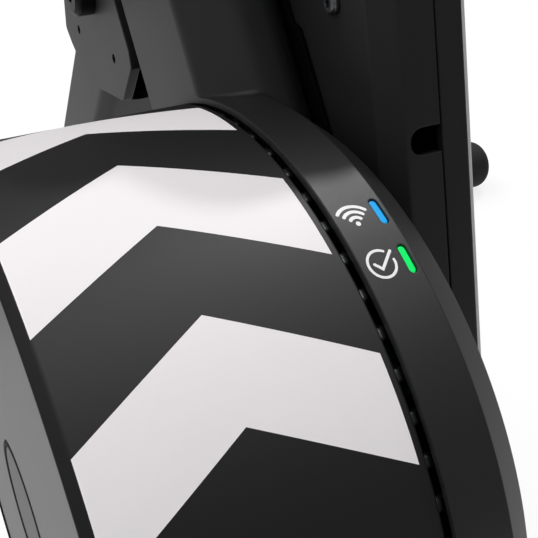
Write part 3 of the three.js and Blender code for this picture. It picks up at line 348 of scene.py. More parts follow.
class Signal:
    """A shader socket in a Python expression, which adds a Math node for each step."""

    def __init__(self, recipe, socket):
        self.recipe = recipe
        self.socket = socket

    def output(self, key):
        """Another output of the same node."""
        return Signal(self.recipe, self.socket.node.outputs[key])

    def math(self, operation, *values):
        return self.recipe.node(
            "ShaderNodeMath", {"operation": operation}, dict(enumerate(values))
        )

    def __add__(self, other):
        return self.math("ADD", self, other)

    __radd__ = __add__

    def __sub__(self, other):
        return self.math("SUBTRACT", self, other)

    def __rsub__(self, other):
        return self.math("SUBTRACT", other, self)

    def __mul__(self, other):
        return self.math("MULTIPLY", self, other)

    __rmul__ = __mul__

    def __truediv__(self, other):
        return self.math("DIVIDE", self, other)

    def __rtruediv__(self, other):
        return self.math("DIVIDE", other, self)

    def __lt__(self, other):
        return self.math("LESS_THAN", self, other)

    def __gt__(self, other):
        return self.math("GREATER_THAN", self, other)

    def wave(self):
        return self.math("SINE", self)

    def size(self):
        return self.math("ABSOLUTE", self)

    def power(self, exponent):
        return self.math("POWER", self, exponent)

    def away(self, other):
        """The distance from the origin of a plane whose two places are these."""
        return (self * self + other * other).power(0.5)

    def dot(self, vector):
        return self.recipe.node(
            "ShaderNodeVectorMath", {"operation": "DOT_PRODUCT"}, {0: self, 1: vector}, 1
        )

    def within(self, period):
        return self.math("FLOORED_MODULO", self, period)

    def kept(self, low, high):
        """Held between two values."""
        return self.math("MINIMUM", self.math("MAXIMUM", self, low), high)

    def rise(self, low, high):
        """From 0 at low to 1 at high, smoothly."""
        return self.recipe.node(
            "ShaderNodeMapRange",
            {"interpolation_type": "SMOOTHSTEP"},
            {"Value": self, "From Min": low, "From Max": high},
        )


class Nodes:
    """The node tree of a material or a world, emptied."""

    def __init__(self, owner):
        owner.use_nodes = True
        self.tree = owner.node_tree
        self.tree.nodes.clear()

    def feed(self, node, sockets):
        """Sets or links a node's input sockets."""
        for key, value in sockets.items():
            socket = node.inputs[key]
            if isinstance(value, Signal):
                self.tree.links.new(value.socket, socket)
            else:
                if socket.type == "RGBA" and len(value) == 3:
                    value = (*value, 1)
                socket.default_value = value

    def node(self, kind, settings=None, sockets=None, output=0):
        """Any node, by its type, its settings and the values or links of its sockets.

        It comes back as the signal of one output, or as a node where it has none.
        """
        made = self.tree.nodes.new(kind)
        for key, value in (settings or {}).items():
            setattr(made, key, value)
        self.feed(made, sockets or {})
        return Signal(self, made.outputs[output]) if made.outputs else made

    def split(self, vector):
        """The three parts of a vector."""
        x = self.node("ShaderNodeSeparateXYZ", sockets={0: vector})
        return x, x.output(1), x.output(2)

    def rays(self, *kinds):
        """Whether the ray is of one of the kinds: Camera, Glossy, Transmission."""
        path = self.node("ShaderNodeLightPath")
        kinds = [path.output(f"Is {kind} Ray") for kind in kinds]
        return sum(kinds[1:], kinds[0]).kept(0, 1)

    def mixed(self, share, first, second):
        """Two shaders mixed."""
        return self.node("ShaderNodeMixShader", sockets={0: share, 1: first, 2: second})


class Recipe(Nodes):
    """The nodes of one material around its shader."""

    def __init__(self, name, colour, roughness, metallic=0.0, **constants):
        self.material = bpy.data.materials.new(name)
        super().__init__(self.material)
        self.shader = self.node("ShaderNodeBsdfPrincipled", sockets={
            "Base Color": colour, "Roughness": roughness, "Metallic": metallic, **constants,
        })
        self.end = self.node("ShaderNodeOutputMaterial", sockets={"Surface": self.shader})
        x, y, z = self.split(self.node("ShaderNodeTexCoord", output="Object"))
        self.x = x / MM
        self.y = (y - AXIS.y) / MM
        self.z = (z - AXIS.z) / MM

    def show(self, shader):
        """Makes a shader the one that the surface shows."""
        self.feed(self.end, {"Surface": shader})

    def point(self, x=None, y=None, z=None):
        """A vector in millimetres, by default where the surface is."""
        return self.node("ShaderNodeCombineXYZ", sockets={
            0: self.x if x is None else x,
            1: self.y if y is None else y,
            2: self.z if z is None else z,
        })

    def noise(self, size, detail=3, at=None):
        """Cloudy noise from 0 to 1, its patches about size millimetres across."""
        return self.node("ShaderNodeTexNoise", sockets={
            "Vector": at or self.point(), "Scale": 1 / size, "Detail": detail,
        })

    def mix(self, share, first, second):
        """Two colours mixed."""
        return self.node(
            "ShaderNodeMix", {"data_type": "RGBA"}, {0: share, 6: first, 7: second}, 2
        )

    def bump(self, height, distance, strength=1.0, under=None):
        """Relief by a height in millimetres times distance."""
        sockets = {"Height": height, "Distance": distance * MM, "Strength": strength}
        if under:
            sockets["Normal"] = under
        return self.node("ShaderNodeBump", sockets=sockets)

    def round_edges(self, radius):
        """Shading of edges too small to model, rounded by a radius in millimetres."""
        return self.node("ShaderNodeBevel", {"samples": 6}, {"Radius": radius * MM})

    def dress(self, **sockets):
        """Feeds the sockets of the surface's own shader and gives its material."""
        names = {"colour": "Base Color", "roughness": "Roughness", "normal": "Normal",
                 "metallic": "Metallic", "glow": "Emission Color"}
        shader = self.shader.socket.node
        self.feed(shader, {names[key]: value for key, value in sockets.items()})
        return self.material


def tone(code):
    """A linear colour from a hexadecimal screen colour."""
    channels = [(code >> shift & 255) / 255 for shift in (16, 8, 0)]
    return tuple(
        c / 12.92 if c <= 0.04045 else ((c + 0.055) / 1.055) ** 2.4 for c in channels
    )


def scaled(colour, share):
    """A colour made darker or paler by a share."""
    return tuple(c * share for c in colour[:3])


def cast_paint(name, colour, roughness):
    """Fine-grained satin paint over cast metal."""
    recipe = Recipe(name, colour, roughness, **{"Specular IOR Level": 0.45})
    grain = recipe.noise(0.55, 4)
    cloud = recipe.noise(30, 2)
    bump = recipe.bump(grain, 0.05, 0.7, recipe.round_edges(0.5))
    return recipe.dress(
        colour=recipe.mix(cloud * 0.6 + grain * 0.4, scaled(colour, 0.86), scaled(colour, 1.16)),
        roughness=roughness - 0.05 + grain * 0.08 + cloud * 0.05,
        normal=bump,
    )


def moulded(name, colour, roughness, grain_size=0.7):
    """Moulded plastic with a spark-eroded grain."""
    recipe = Recipe(name, colour, roughness, **{"Specular IOR Level": 0.4})
    grain = recipe.node("ShaderNodeTexVoronoi", sockets={
        "Vector": recipe.point(), "Scale": 1 / grain_size,
    }, output="Distance")
    cloud = recipe.noise(45, 2)
    return recipe.dress(
        colour=recipe.mix(cloud, scaled(colour, 0.9), scaled(colour, 1.12)),
        roughness=roughness - 0.04 + cloud * 0.08,
        normal=recipe.bump(grain, 0.04, 0.5, recipe.round_edges(0.4)),
    )


def rubber(name, colour, shine=0.35):
    """Matt rubber with a little dust."""
    recipe = Recipe(name, colour, 0.75, **{"Specular IOR Level": shine})
    grain = recipe.noise(0.9, 5)
    dust = recipe.noise(14, 4)
    return recipe.dress(
        colour=recipe.mix(dust.rise(0.45, 0.8) * 0.5, colour, scaled(colour, 1.8)),
        roughness=0.68 + dust * 0.16,
        normal=recipe.bump(grain, 0.12, 0.8, recipe.round_edges(0.5)),
    )


def turned_metal(name, colour, roughness, at):
    """Bright metal with fine tool marks around an axis along X."""
    recipe = Recipe(name, colour, roughness, 1.0)
    radius = (recipe.y - at[0]).away(recipe.z - at[1])
    marks = recipe.noise(0.35, 2, recipe.point(recipe.x, radius, 0.0))
    cloud = recipe.noise(9, 3)
    return recipe.dress(
        colour=recipe.mix(cloud, scaled(colour, 0.88), colour),
        roughness=roughness - 0.05 + marks * 0.14 + cloud * 0.05,
        normal=recipe.bump(marks, 0.03, 0.7, recipe.round_edges(0.3)),
    )


def plated(name, colour, roughness):
    """Plated steel with faint clouding."""
    recipe = Recipe(name, colour, roughness, 1.0)
    cloud = recipe.noise(4, 4)
    return recipe.dress(
        colour=recipe.mix(cloud, scaled(colour, 0.82), colour),
        roughness=roughness - 0.04 + cloud * 0.12,
        normal=recipe.bump(cloud, 0.02, 0.5, recipe.round_edges(0.25)),
    )


def chevron_paint(settings):
    """White and black chevrons round the flywheel's rim, and black past its edges."""
    recipe = Recipe(
        "drum_chevron_paint", settings.white, settings.gloss, **{"Specular IOR Level": 0.38}
    )
    low, high = DRUM
    band_left, rim_depth = settings.edge_band / MM, 0.9
    edge_left, edge_right = low.x + band_left, high.x - band_left * 0.8
    width = edge_right - edge_left
    from_top = recipe.y.math("ARCTAN2", recipe.y * -1, recipe.z) * (180 / math.pi)
    uneven, even_at, point_share = 1.78, 27, 0.97
    evened = from_top - uneven * ((from_top - even_at) * (math.pi / 180)).wave()
    across = (recipe.x - edge_left) / width
    lead = settings.chevron_lead * (1 - (across * 2 - 1).size())
    pitch = 720 / settings.chevron_count / 2
    start = settings.chevron_start
    start -= uneven * math.sin(math.radians(start - even_at))
    phase = (evened + lead * point_share - start) / pitch
    black = phase.within(2.0) < 1.0
    radius = recipe.y.away(recipe.z)
    inside = (recipe.x > edge_left) * (recipe.x < edge_right) * (radius > high.z - rim_depth)
    white = (1 - black) * inside
    grain = recipe.noise(0.5, 4)
    cloud = recipe.noise(40, 2)
    pale = recipe.mix(cloud, scaled(settings.white, 0.97), settings.white)
    dark = recipe.mix(cloud, settings.black, scaled(settings.black, 1.12))
    return recipe.dress(
        colour=recipe.mix(white, dark, pale),
        roughness=settings.gloss + grain * 0.06,
        normal=recipe.bump(grain, 0.03, 0.5),
    )


def face_paint(name, colour, roughness):
    """Satin grey paint with faint rings from its turning."""
    recipe = Recipe(name, colour, roughness)
    radius = recipe.y.away(recipe.z)
    rings = recipe.noise(0.7, 3, recipe.point(0.0, radius, 0.0))
    grain = recipe.noise(0.6, 3)
    return recipe.dress(
        colour=recipe.mix(rings * 0.5 + grain * 0.5, scaled(colour, 0.93), scaled(colour, 1.06)),
        roughness=roughness + grain * 0.08,
        normal=recipe.bump(rings * 0.6 + grain, 0.03, 0.6, recipe.round_edges(0.3)),
    )


def wound_copper(name, colour):
    """Lacquered wire wound side by side, with painted shade in the grooves between neighbouring
    windings.
    """
    recipe = Recipe(name, colour, 0.3, 0.9)
    wire = 0.9
    # This wave gives the wire's real relief, and the darker colour between windings is painted
    # shade.
    turns_and_shade = (recipe.x * (math.tau / wire)).wave() * 0.5 + 0.5
    cloud = recipe.noise(8, 3)
    return recipe.dress(
        colour=recipe.mix(turns_and_shade * 0.7 + cloud * 0.3, scaled(colour, 0.45), colour),
        roughness=0.25 + cloud * 0.15,
        normal=recipe.bump(turns_and_shade, 0.35, 0.9),
    )


def laminated(name, colour):
    """A stack of stamped steel sheets along X."""
    recipe = Recipe(name, colour, 0.42, 1.0)
    sheet = 0.65
    sheets = (recipe.x * (math.tau / sheet)).wave() * 0.5 + 0.5
    cloud = recipe.noise(12, 4)
    return recipe.dress(
        colour=recipe.mix(sheets * 0.5 + cloud * 0.5, scaled(colour, 0.55), colour),
        roughness=0.35 + cloud * 0.2,
        normal=recipe.bump(sheets, 0.15, 0.8),
    )


def circuit_board(name, colour):
    """Solder lacquer with raised tracks."""
    recipe = Recipe(name, colour, 0.35)
    cells = recipe.node("ShaderNodeTexBrick", {"offset": 0.37}, {
        "Vector": recipe.point(recipe.y * 0.2, recipe.z * 0.2, 0.0),
        "Color1": scaled(colour, 1.0), "Color2": scaled(colour, 1.7), "Mortar": scaled(colour, 0.6),
        "Scale": 1.0, "Mortar Size": 0.03,
    })
    grain = recipe.noise(1.2, 3)
    return recipe.dress(
        colour=cells, roughness=0.3 + grain * 0.2, normal=recipe.bump(grain, 0.05, 0.5)
    )


def lit_lens(name, colour, strength):
    """A frosted lens with a lamp behind it, its glow clouded by the frost."""
    recipe = Recipe(
        name, colour, 0.35, **{"Emission Strength": strength, "Specular IOR Level": 0.12}
    )
    frost = recipe.noise(0.8, 3)
    return recipe.dress(
        colour=recipe.mix(frost, scaled(colour, 0.2), scaled(colour, 0.3)),
        glow=recipe.mix(frost, scaled(colour, 0.85), colour),
        roughness=0.3 + frost * 0.15,
        normal=recipe.bump(frost, 0.03, 0.4),
    )


def print_ink(name, colour):
    """Flat ink, printed on the casting."""
    recipe = Recipe(name, colour, 0.55)
    grain = recipe.noise(0.4, 3)
    return recipe.dress(
        colour=recipe.mix(grain, scaled(colour, 0.94), colour),
        roughness=0.5 + grain * 0.1,
        normal=recipe.bump(grain, 0.01, 0.4),
    )


def brushed_plate(name, colour, roughness):
    """Pale metal brushed along the plate."""
    recipe = Recipe(name, colour, roughness, 0.35)
    run = recipe.y * UP[0] + recipe.z * UP[1]
    across = recipe.y * BACK[0] + recipe.z * BACK[1]
    hair = recipe.noise(0.4, 3, recipe.point(recipe.x, run * 0.03, across))
    return recipe.dress(
        colour=recipe.mix(hair, scaled(colour, 0.93), colour),
        roughness=roughness + hair * 0.12,
        normal=recipe.bump(hair, 0.02, 0.5, recipe.round_edges(0.3)),
    )


FINISHES = {}


def finish(name, maker, *values):
    """A material, made once."""
    if name not in FINISHES:
        FINISHES[name] = maker(name, *values)
    return FINISHES[name]


def black_casting():
    look = bpy.context.scene.trainer_casting
    return finish("black_casting", cast_paint, tuple(look.colour), look.gloss)


def black_steel():
    look = bpy.context.scene.trainer_stand
    return finish("black_steel", cast_paint, tuple(look.colour), look.gloss)


def black_plastic():
    look = bpy.context.scene.trainer_cover
    return finish("black_plastic", moulded, tuple(look.colour), look.gloss)


def black_rubber():
    return finish("black_rubber", rubber, tuple(bpy.context.scene.trainer_stand.rubber))


def bright_steel():
    return finish("bright_steel", turned_metal, tone(0xC3C5C8), 0.24, HUB)


def dark_steel():
    return finish("dark_steel", plated, tone(0x55585C), 0.36)


# Settings

def length_setting(text, about, default):
    return bpy.props.FloatProperty(
        name=text, description=about, default=default * MM, unit="LENGTH", precision=4
    )


def colour_setting(text, about, default):
    return bpy.props.FloatVectorProperty(
        name=text, description=about, default=default, subtype="COLOR", size=3, min=0, max=1
    )


def share_setting(text, about, default):
    return bpy.props.FloatProperty(
        name=text, description=about, default=default, min=0, max=1, subtype="FACTOR"
    )


class FlywheelLook(bpy.types.PropertyGroup):
    white: colour_setting("White", "The pale chevrons", tone(0xEAE6E8))
    black: colour_setting("Black", "The dark chevrons and the rim's edges", tone(0x131314))
    grey: colour_setting("Face", "The painted face", tone(0x565658))
    gloss: share_setting("Roughness", "Roughness of the rim's paint", 0.48)
    chevron_count: bpy.props.IntProperty(
        name="Chevron edges", description="Edges round the whole rim, an even number", default=28
    )
    chevron_start: bpy.props.FloatProperty(
        name="First edge", description="Degrees from the top to the first edge", default=0.23
    )
    chevron_lead: bpy.props.FloatProperty(
        name="Lead", description="Degrees by which the points lead the ends", default=10.49
    )
    edge_band: length_setting("Edge band", "Black band at the rim's left edge", 2.9)
    stud_count: bpy.props.IntProperty(
        name="Studs", description="Rounded studs round the rim's right side", default=69
    )


class CastingLook(bpy.types.PropertyGroup):
    colour: colour_setting("Colour", "Paint of the ring housing and column", tone(0x1A1A1B))
    gloss: share_setting("Roughness", "Roughness of that paint", 0.44)
    corner: length_setting("Corner", "Rounding of the column's rear left edge", 13)
    crease: length_setting("Crease", "Rounding of the column's rear right edge", 11)
    # Ledge sets the step in the near-black piece behind the column, which is painted shade rather
    # than a real seal
    ledge: length_setting("Ledge", "Rise from the flywheel's axis to the step in the seal", 129)
    lip: length_setting("Lip", "Rounding of the ring's lip", 0.5)
    print_colour: colour_setting("Signs", "The printed signs", tone(0xF2F2F2))
    blue: colour_setting("Link light", "The light of the wireless sign", tone(0x0C9FE6))
    green: colour_setting("Ready light", "The light of the ready sign", tone(0x0CEA6A))


class CoverLook(bpy.types.PropertyGroup):
    colour: colour_setting("Colour", "Plastic of the belt cover", tone(0x161617))
    gloss: share_setting("Roughness", "Roughness of that plastic", 0.5)
    chamfer: length_setting("Chamfer", "Chamfer of the cover's left edge", 6.6)
    wall: length_setting("Wall", "Wall of the cover", 3)
    slot_height: length_setting("Slot", "Height of the slot in the rear wall", 8.4)
    edge: colour_setting("Edge", "The pale plate's edge", tone(0xCFCFD1))


class StandLook(bpy.types.PropertyGroup):
    colour: colour_setting("Colour", "Paint of the legs and cross bars", tone(0x1A1A1B))
    gloss: share_setting("Roughness", "Roughness of that paint", 0.44)
    rubber: colour_setting("Rubber", "The feet", tone(0x161617))
    leg_corner: length_setting("Leg corner", "Rounding of the legs' corners", 7)


class HubLook(bpy.types.PropertyGroup):
    sprocket: colour_setting("Sprockets", "Plated steel of the sprockets", tone(0xA9ABAE))
    lever: colour_setting("Lever", "Forged lever", tone(0x8F9194))
    tooth_depth: length_setting("Tooth depth", "From a sprocket's tip to its root", 6.2)
    grip_groove: length_setting("Grip groove", "Depth of the carry handle's grooves", 0.7)


class StageLook(bpy.types.PropertyGroup):
    floor: colour_setting("Floor", "The floor", (0.9, 0.9, 0.9))
    sky: share_setting("Sky", "Strength of the even light from all round", 0.35)
    side_box: bpy.props.FloatProperty(
        name="Side box", description="Strength of the soft box above the left", default=3
    )
    top_box: bpy.props.FloatProperty(
        name="Top box", description="Strength of the reflected soft box above", default=2
    )
    flag: share_setting("Flag", "Strength of the dark surroundings in reflections", 0.12)
    pool: length_setting("Pool", "Radius of the bright floor in reflections", 1900)
    key: bpy.props.FloatProperty(name="Key", description="Strength of the key light", default=1)
    lens: bpy.props.FloatProperty(
        name="Lens", description="Focal length in millimetres", default=59.36
    )


# Pieces

def bored(left, right, radius, at=(0, 0), sides=64):
    """A plain cylinder along X, for a bore or a rod."""
    return lathe([(left, 0), (left, radius), (right, radius), (right, 0)], sides, at)


def hexagon(left, right, radius, at):
    """A hexagonal bar along X, for a screw's socket."""
    return skin([[(x, *p) for p in circle(radius, 6, at)] for x in (left, right)])


def sided(shell, side):
    """A shell drawn on the trainer's right, kept there (1) or mirrored to its left (-1)."""
    corners, faces = shell
    return [(side * x, y, z) for x, y, z in corners], faces


def painted_where(made, material, test):
    """Gives a second finish to the faces whose middle, in millimetres, passes a test."""
    made.data.materials.append(material)
    for face in made.data.polygons:
        if test((Vector(face.center) - AXIS) / MM, face):
            face.material_index = 1


class TRAINER_OT_flywheel(bpy.types.Operator):
    """Make the flywheel's drum, studs, face and cap"""

    bl_idname = "trainer.flywheel"
    bl_label = "Flywheel"
    bl_options = {"REGISTER", "UNDO"}

    def execute(self, context):
        look = context.scene.trainer_flywheel
        low, high = DRUM
        left, right, radius = low.x, high.x, high.z
        rim, boss, shaft, nut_room = 12, 22, 8.8, 14.3
        inside = radius - rim
        web = local_box("brake_ring")[0].x - GAP
        boss_end, seat, cap_seat, nut_seat = web + 10, left + 2.0, left + 2.6, left + 6.9
        recess = local_box("flywheel_face_plate")[1].z + GAP
        cap_radius = local_box("flywheel_centre_cap")[1].z
        profile = rounded([
            (left, recess), (left, radius - 1.2, 1.4), (left + 2.9, radius, 3.0),
            (right, radius, 1.0), (right, inside, 0.6), (web, inside, 2.0), (web, boss, 2.0),
            (boss_end, boss, 0.6), (boss_end, shaft), (nut_seat, shaft), (nut_seat, nut_room),
            (cap_seat, nut_room), (cap_seat, cap_radius + GAP), (seat, cap_radius + GAP),
            (seat, recess),
        ], 15)
        make("flywheel_drum", [lathe(profile, 240)], "flywheel", chevron_paint(look), "drum_paint")

        top, half, deep, corner, proud = radius - 1.0, 2.4, 3.6, 1.6, 3.1
        bead = slab(shrinking(rounded([
            (-half, top, corner), (half, top, corner),
            (half, top - deep, corner), (-half, top - deep, corner),
        ], 18)), right - 0.2, right + proud, 0, 0.9, 4)
        studs, first = [], math.radians(32.6)
        for i in range(look.stud_count):
            turn = math.tau * i / look.stud_count + first
            studs.append(placed(bead, Matrix.Rotation(turn, 4, "X")))
        steel = finish("stud_steel", plated, tone(0x7C7E82), 0.22)
        make("flywheel_studs", studs, "flywheel", steel, "dark_steel", nodes=())

        face_left, seal_inner, seal_outer = left + 0.8, cap_radius - 1.0, cap_radius + 1.0
        face = rounded([
            (seat, recess - GAP), (face_left, recess - GAP, 0.4),
            (face_left, seal_outer + 0.1, 0.4), (seat, seal_outer + 0.1),
        ])
        grey = finish("grey_face", face_paint, tuple(look.grey), 0.42)
        make("flywheel_face_plate", [lathe(face, 240)], "flywheel", grey, "grey_face")
        seal_left = left + 0.45
        seal = rounded([
            (seat, seal_inner), (seal_left, seal_inner, 0.7),
            (seal_left, seal_outer, 0.7), (seat, seal_outer),
        ])
        make("cap_seal", [lathe(seal, 160)], "flywheel", black_rubber(), "black_rubber", nodes=())
        cap_left, cap_edge = left + 0.9, cap_radius - 1.2
        cap = rounded([
            (left + 2.3, 0), (cap_left, 0), (cap_left, cap_edge, 0.4), (left + 2.3, cap_edge),
        ])
        darker = finish("grey_cap", face_paint, scaled(look.grey, 0.92), 0.5)
        make("flywheel_centre_cap", [lathe(cap, 160)], "flywheel", darker, "grey_face")
        return {"FINISHED"}


def column_point(rise, behind):
    """A point at a rise along the column and a distance behind the flywheel's axis."""
    return (rise * UP[0] + behind * BACK[0], rise * UP[1] + behind * BACK[1])


# Places are (y, z) about the flywheel's axis. The ring's outside is (x, radius).
COLUMN_SETBACK = 20.5
COLUMN_HALF = 30
COLUMN_FOOT = column_point(60, COLUMN_SETBACK)
RING = [(-52.8, 122.0), (-36.0, 120.7), (-25.2, 112.3)]
RING_LIP = 119.8
RING_INSIDE = 115
WEB_LEFT = -33.2
BEARING = 17.8
SPIGOT_END = -112
BOLTS = [(146.4, 123.6), (138.0, 153.0)]
BOLT_HOLE = 5.3
HANDLE_ANGLES = (45, 180 - math.degrees(LEAN))


def outer_radius(x):
    """The radius of the ring's outside at a place along X."""
    (x1, r1), (x2, r2) = RING[:2] if x < RING[1][0] else RING[1:]
    return r1 + (r2 - r1) * (x - x1) / (x2 - x1)


def ring_shell(grow):
    """The ring's outside, grown by a distance, as a solid disc."""
    profile = [(RING[0][0] - grow, 0)] + [(x, radius + grow) for x, radius in RING]
    return profile + [(RING[-1][0] + grow, RING[-1][1] + grow), (RING[-1][0] + grow, 0)]


def eased(share):
    """From 0 to 1 smoothly, and held at both ends."""
    share = min(max(share, 0), 1)
    return share * share * (3 - 2 * share)


def column_ring(x, inset, fillet, corner):
    """The column's outline at x. Its rear face runs into the ring through a concave fillet."""
    front_corner = 2
    ring = outer_radius(x)
    across = COLUMN_SETBACK + COLUMN_HALF - inset + fillet
    middle = Vector(column_point(math.sqrt((ring + fillet) ** 2 - across**2), across))
    start = math.atan2(-middle.y, -middle.x)
    end = math.atan2(-BACK[1], -BACK[0])
    start += math.tau * round((end - start) / math.tau)
    points = [tuple(middle.normalized() * (ring - 12))]
    points += arc_points(fillet, math.degrees(start), math.degrees(end), 16, middle)
    behind = math.atan2(BACK[1], BACK[0])
    steps = 48
    for i in range(steps + 1):
        turn = behind - math.pi * i / steps
        facing = eased((math.cos(turn - behind) + 0.1) / 0.9)
        radius = COLUMN_HALF - inset * (front_corner + (corner - front_corner) * facing) / corner
        points.append((HUB[0] + radius * math.cos(turn), HUB[1] + radius * math.sin(turn)))
    radius = COLUMN_HALF - inset * front_corner / corner
    quarter = math.degrees(behind) + 90
    points += arc_points(radius, quarter + 90, quarter, 12, COLUMN_FOOT)
    return [(x, y, z) for y, z in points]


def filleted_column(corner, crease):
    """The column with its rear edges rounded. Its fillet fades out towards the cover."""
    def fillet(x):
        return 2 + 1.5 * eased((x + 50) / 14) - 2.7 * eased((x + 34) / 15)

    steps = 16
    rings = []
    for i in range(steps + 1):
        turn = math.pi / 2 * i / steps
        x = HOUSING_LEFT + 1.5 * corner * (1 - math.cos(turn))
        rings.append(column_ring(x, corner * (1 - math.sin(turn)), fillet(x), corner))
    for i in range(steps + 1):
        turn = math.pi / 2 * i / steps
        x = HOUSING_RIGHT - crease * (1 - math.sin(turn))
        rings.append(column_ring(x, crease * (1 - math.cos(turn)), fillet(x), crease))
    return skin(rings)


def on_ring(x, arc, height):
    """A point over the ring by its x, its arc from the top towards the rear, and its height."""
    turn = arc / RING[0][1]
    (x1, r1), (x2, r2) = RING[:2]
    radius = r1 + (r2 - r1) * (x - x1) / (x2 - x1) + height
    return (x, -radius * math.sin(turn), radius * math.cos(turn))


def wrapped(levels, at):
    """A skin through flat outlines (right, up), wrapped on the ring about (x, arc).

    Each level is an outline and its height over the ring.
    """
    x, arc = at
    return skin([[on_ring(x + a, arc - b, height) for a, b in flat] for flat, height in levels])


def stroke(points, width):
    """A round-ended line of a width through points, as an outline."""
    half = width / 2
    first, last = Vector(points[1]) - Vector(points[0]), Vector(points[-1]) - Vector(points[-2])
    sides = []
    for i, p in enumerate(points):
        before = Vector(p) - Vector(points[i - 1]) if i else first
        after = Vector(points[i + 1]) - Vector(p) if i < len(points) - 1 else last
        ahead = (before.normalized() + after.normalized()).normalized()
        stretch = 1 / max(ahead.dot(before.normalized()), 0.35)
        sides.append((Vector(p), Vector((-ahead.y, ahead.x)) * half * stretch))
    left = [tuple(p + n) for p, n in sides]
    right = [tuple(p - n) for p, n in reversed(sides)]

    def cap(p, ahead):
        heading = math.atan2(ahead.y, ahead.x)
        return [
            (p[0] + half * math.cos(heading + math.pi / 2 - math.pi * k / 8),
             p[1] + half * math.sin(heading + math.pi / 2 - math.pi * k / 8))
            for k in range(1, 8)
        ]

    return left + cap(points[-1], last) + right + cap(points[0], -first)


def upright_stroke(half, width):
    """A round-ended line of a half length, along the ring."""
    return stroke([(0, -half), (0, 0), (0, half)], width)


# Where the lenses are on the ring: x, and the arc from its top towards the rear
LENSES = {"link_lens": (-38.5, 48.6), "ready_lens": (-38.5, 64.3)}


class TRAINER_OT_housing(bpy.types.Operator):
    """Make the ring housing with its column, and the painted shade behind the column: a near-black
    piece, not a real seal
    """

    bl_idname = "trainer.housing"
    bl_label = "Ring housing and column"
    bl_options = {"REGISTER", "UNDO"}

    def execute(self, context):
        look = context.scene.trainer_casting
        corner, crease = look.corner / MM, look.crease / MM
        joined = [lathe(self.ring(look.lip / MM), 240), *self.column(crease), *self.lugs()]
        for angle in HANDLE_ANGLES:
            post = upright(lathe(rounded([(0, 0), (0, 13), (34, 13, 1.0), (34, 0)]), 48))
            turn = Matrix.Rotation(math.radians(angle - 90), 4, "X")
            joined.append(shifted(placed(post, turn), LEG_MIDDLE, *HUB))
        make("main_housing", [filleted_column(corner, crease)], "frame", black_casting(),
             "black_casting", trim=[self.cavity()], joined=joined, cut=self.bores(), sharp=28)

        # The near-black piece made here is painted shade, not a real seal: it stands for the deep
        # shade in the corner between the column's rear face and the belt cover.
        ledge, step = look.ledge / MM, 3
        inner, outer = 45.6, COLUMN_SETBACK + COLUMN_HALF + step
        low, high, right = 66, 176, HOUSING_RIGHT - 0.3
        strip = shrinking(rounded([
            (*column_point(low, inner), 0), (*column_point(low, outer), 0),
            (*column_point(ledge - 1, outer), 1.0), (*column_point(ledge + 2, outer - step), 1.0),
            (*column_point(high, outer - step), 3), (*column_point(high, inner), 3),
        ]))
        shade_black = finish("seal_foam", rubber, tone(0x040404), 0.06)
        make("painted_shade_strip", [slab(strip, right - 1.5, right, 0.5, 0)], "frame", shade_black,
             "black_rubber", nodes=())
        return {"FINISHED"}

    def ring(self, lip):
        left, spigot = HOUSING_LEFT, 24
        return rounded([
            (left + 9, RING_INSIDE, 2), (left + 6, RING_LIP, 2), (left, RING_LIP, 0.2),
            (*RING[0], lip), (*RING[1], 0.8), (*RING[2], 1.0), (RING[2][0], 15), (SPIGOT_END, 15),
            (SPIGOT_END, spigot, 0.8), (WEB_LEFT, spigot, 3), (WEB_LEFT, RING_INSIDE, 4),
        ], 15)

    def cavity(self):
        left = HOUSING_LEFT
        return lathe([
            (left - 1, 0), (left - 1, RING_LIP), (left + 5.5, RING_LIP), (left + 8.5, RING_INSIDE),
            (WEB_LEFT, RING_INSIDE), (WEB_LEFT, 0),
        ], 240)

    def column(self, crease):
        half, left, right = COLUMN_HALF - 0.4, WEB_LEFT + 1, HOUSING_RIGHT
        outline = shrinking(band(COLUMN_FOOT, half, HUB, half, 48))
        pad = shrinking(band((0, 0), 30, COLUMN_FOOT, half))
        return slab(outline, left, right - 0.3, 0, crease, 12), slab(pad, left, right, 0, 0.8)

    def lugs(self):
        inset, reach, edge = 4.3, 17, 1.2
        root = column_point(163.4, COLUMN_SETBACK)
        for first, second, grown in ((root, BOLTS[0], 0), (*BOLTS, 0), (HUB, BOLTS[1], 0.01)):
            lug = shrinking(band(first, reach + grown, second, reach))
            yield slab(lug, HOUSING_LEFT + inset, HOUSING_RIGHT - inset, edge, edge)

    def bores(self):
        left, right = HOUSING_LEFT, HOUSING_RIGHT
        cut = [
            bored(left - 9, right + 9, 7.8, HUB, 48), bored(-26.9, right + 9, BEARING),
            bored(SPIGOT_END - 2, -101.7, BEARING),
        ]
        cut += [bored(left, right, BOLT_HOLE, bolt, 32) for bolt in BOLTS]
        pocket = upright_stroke(3.1, 2.6)
        return cut + [wrapped([(pocket, -3.6), (pocket, 2)], at) for at in LENSES.values()]


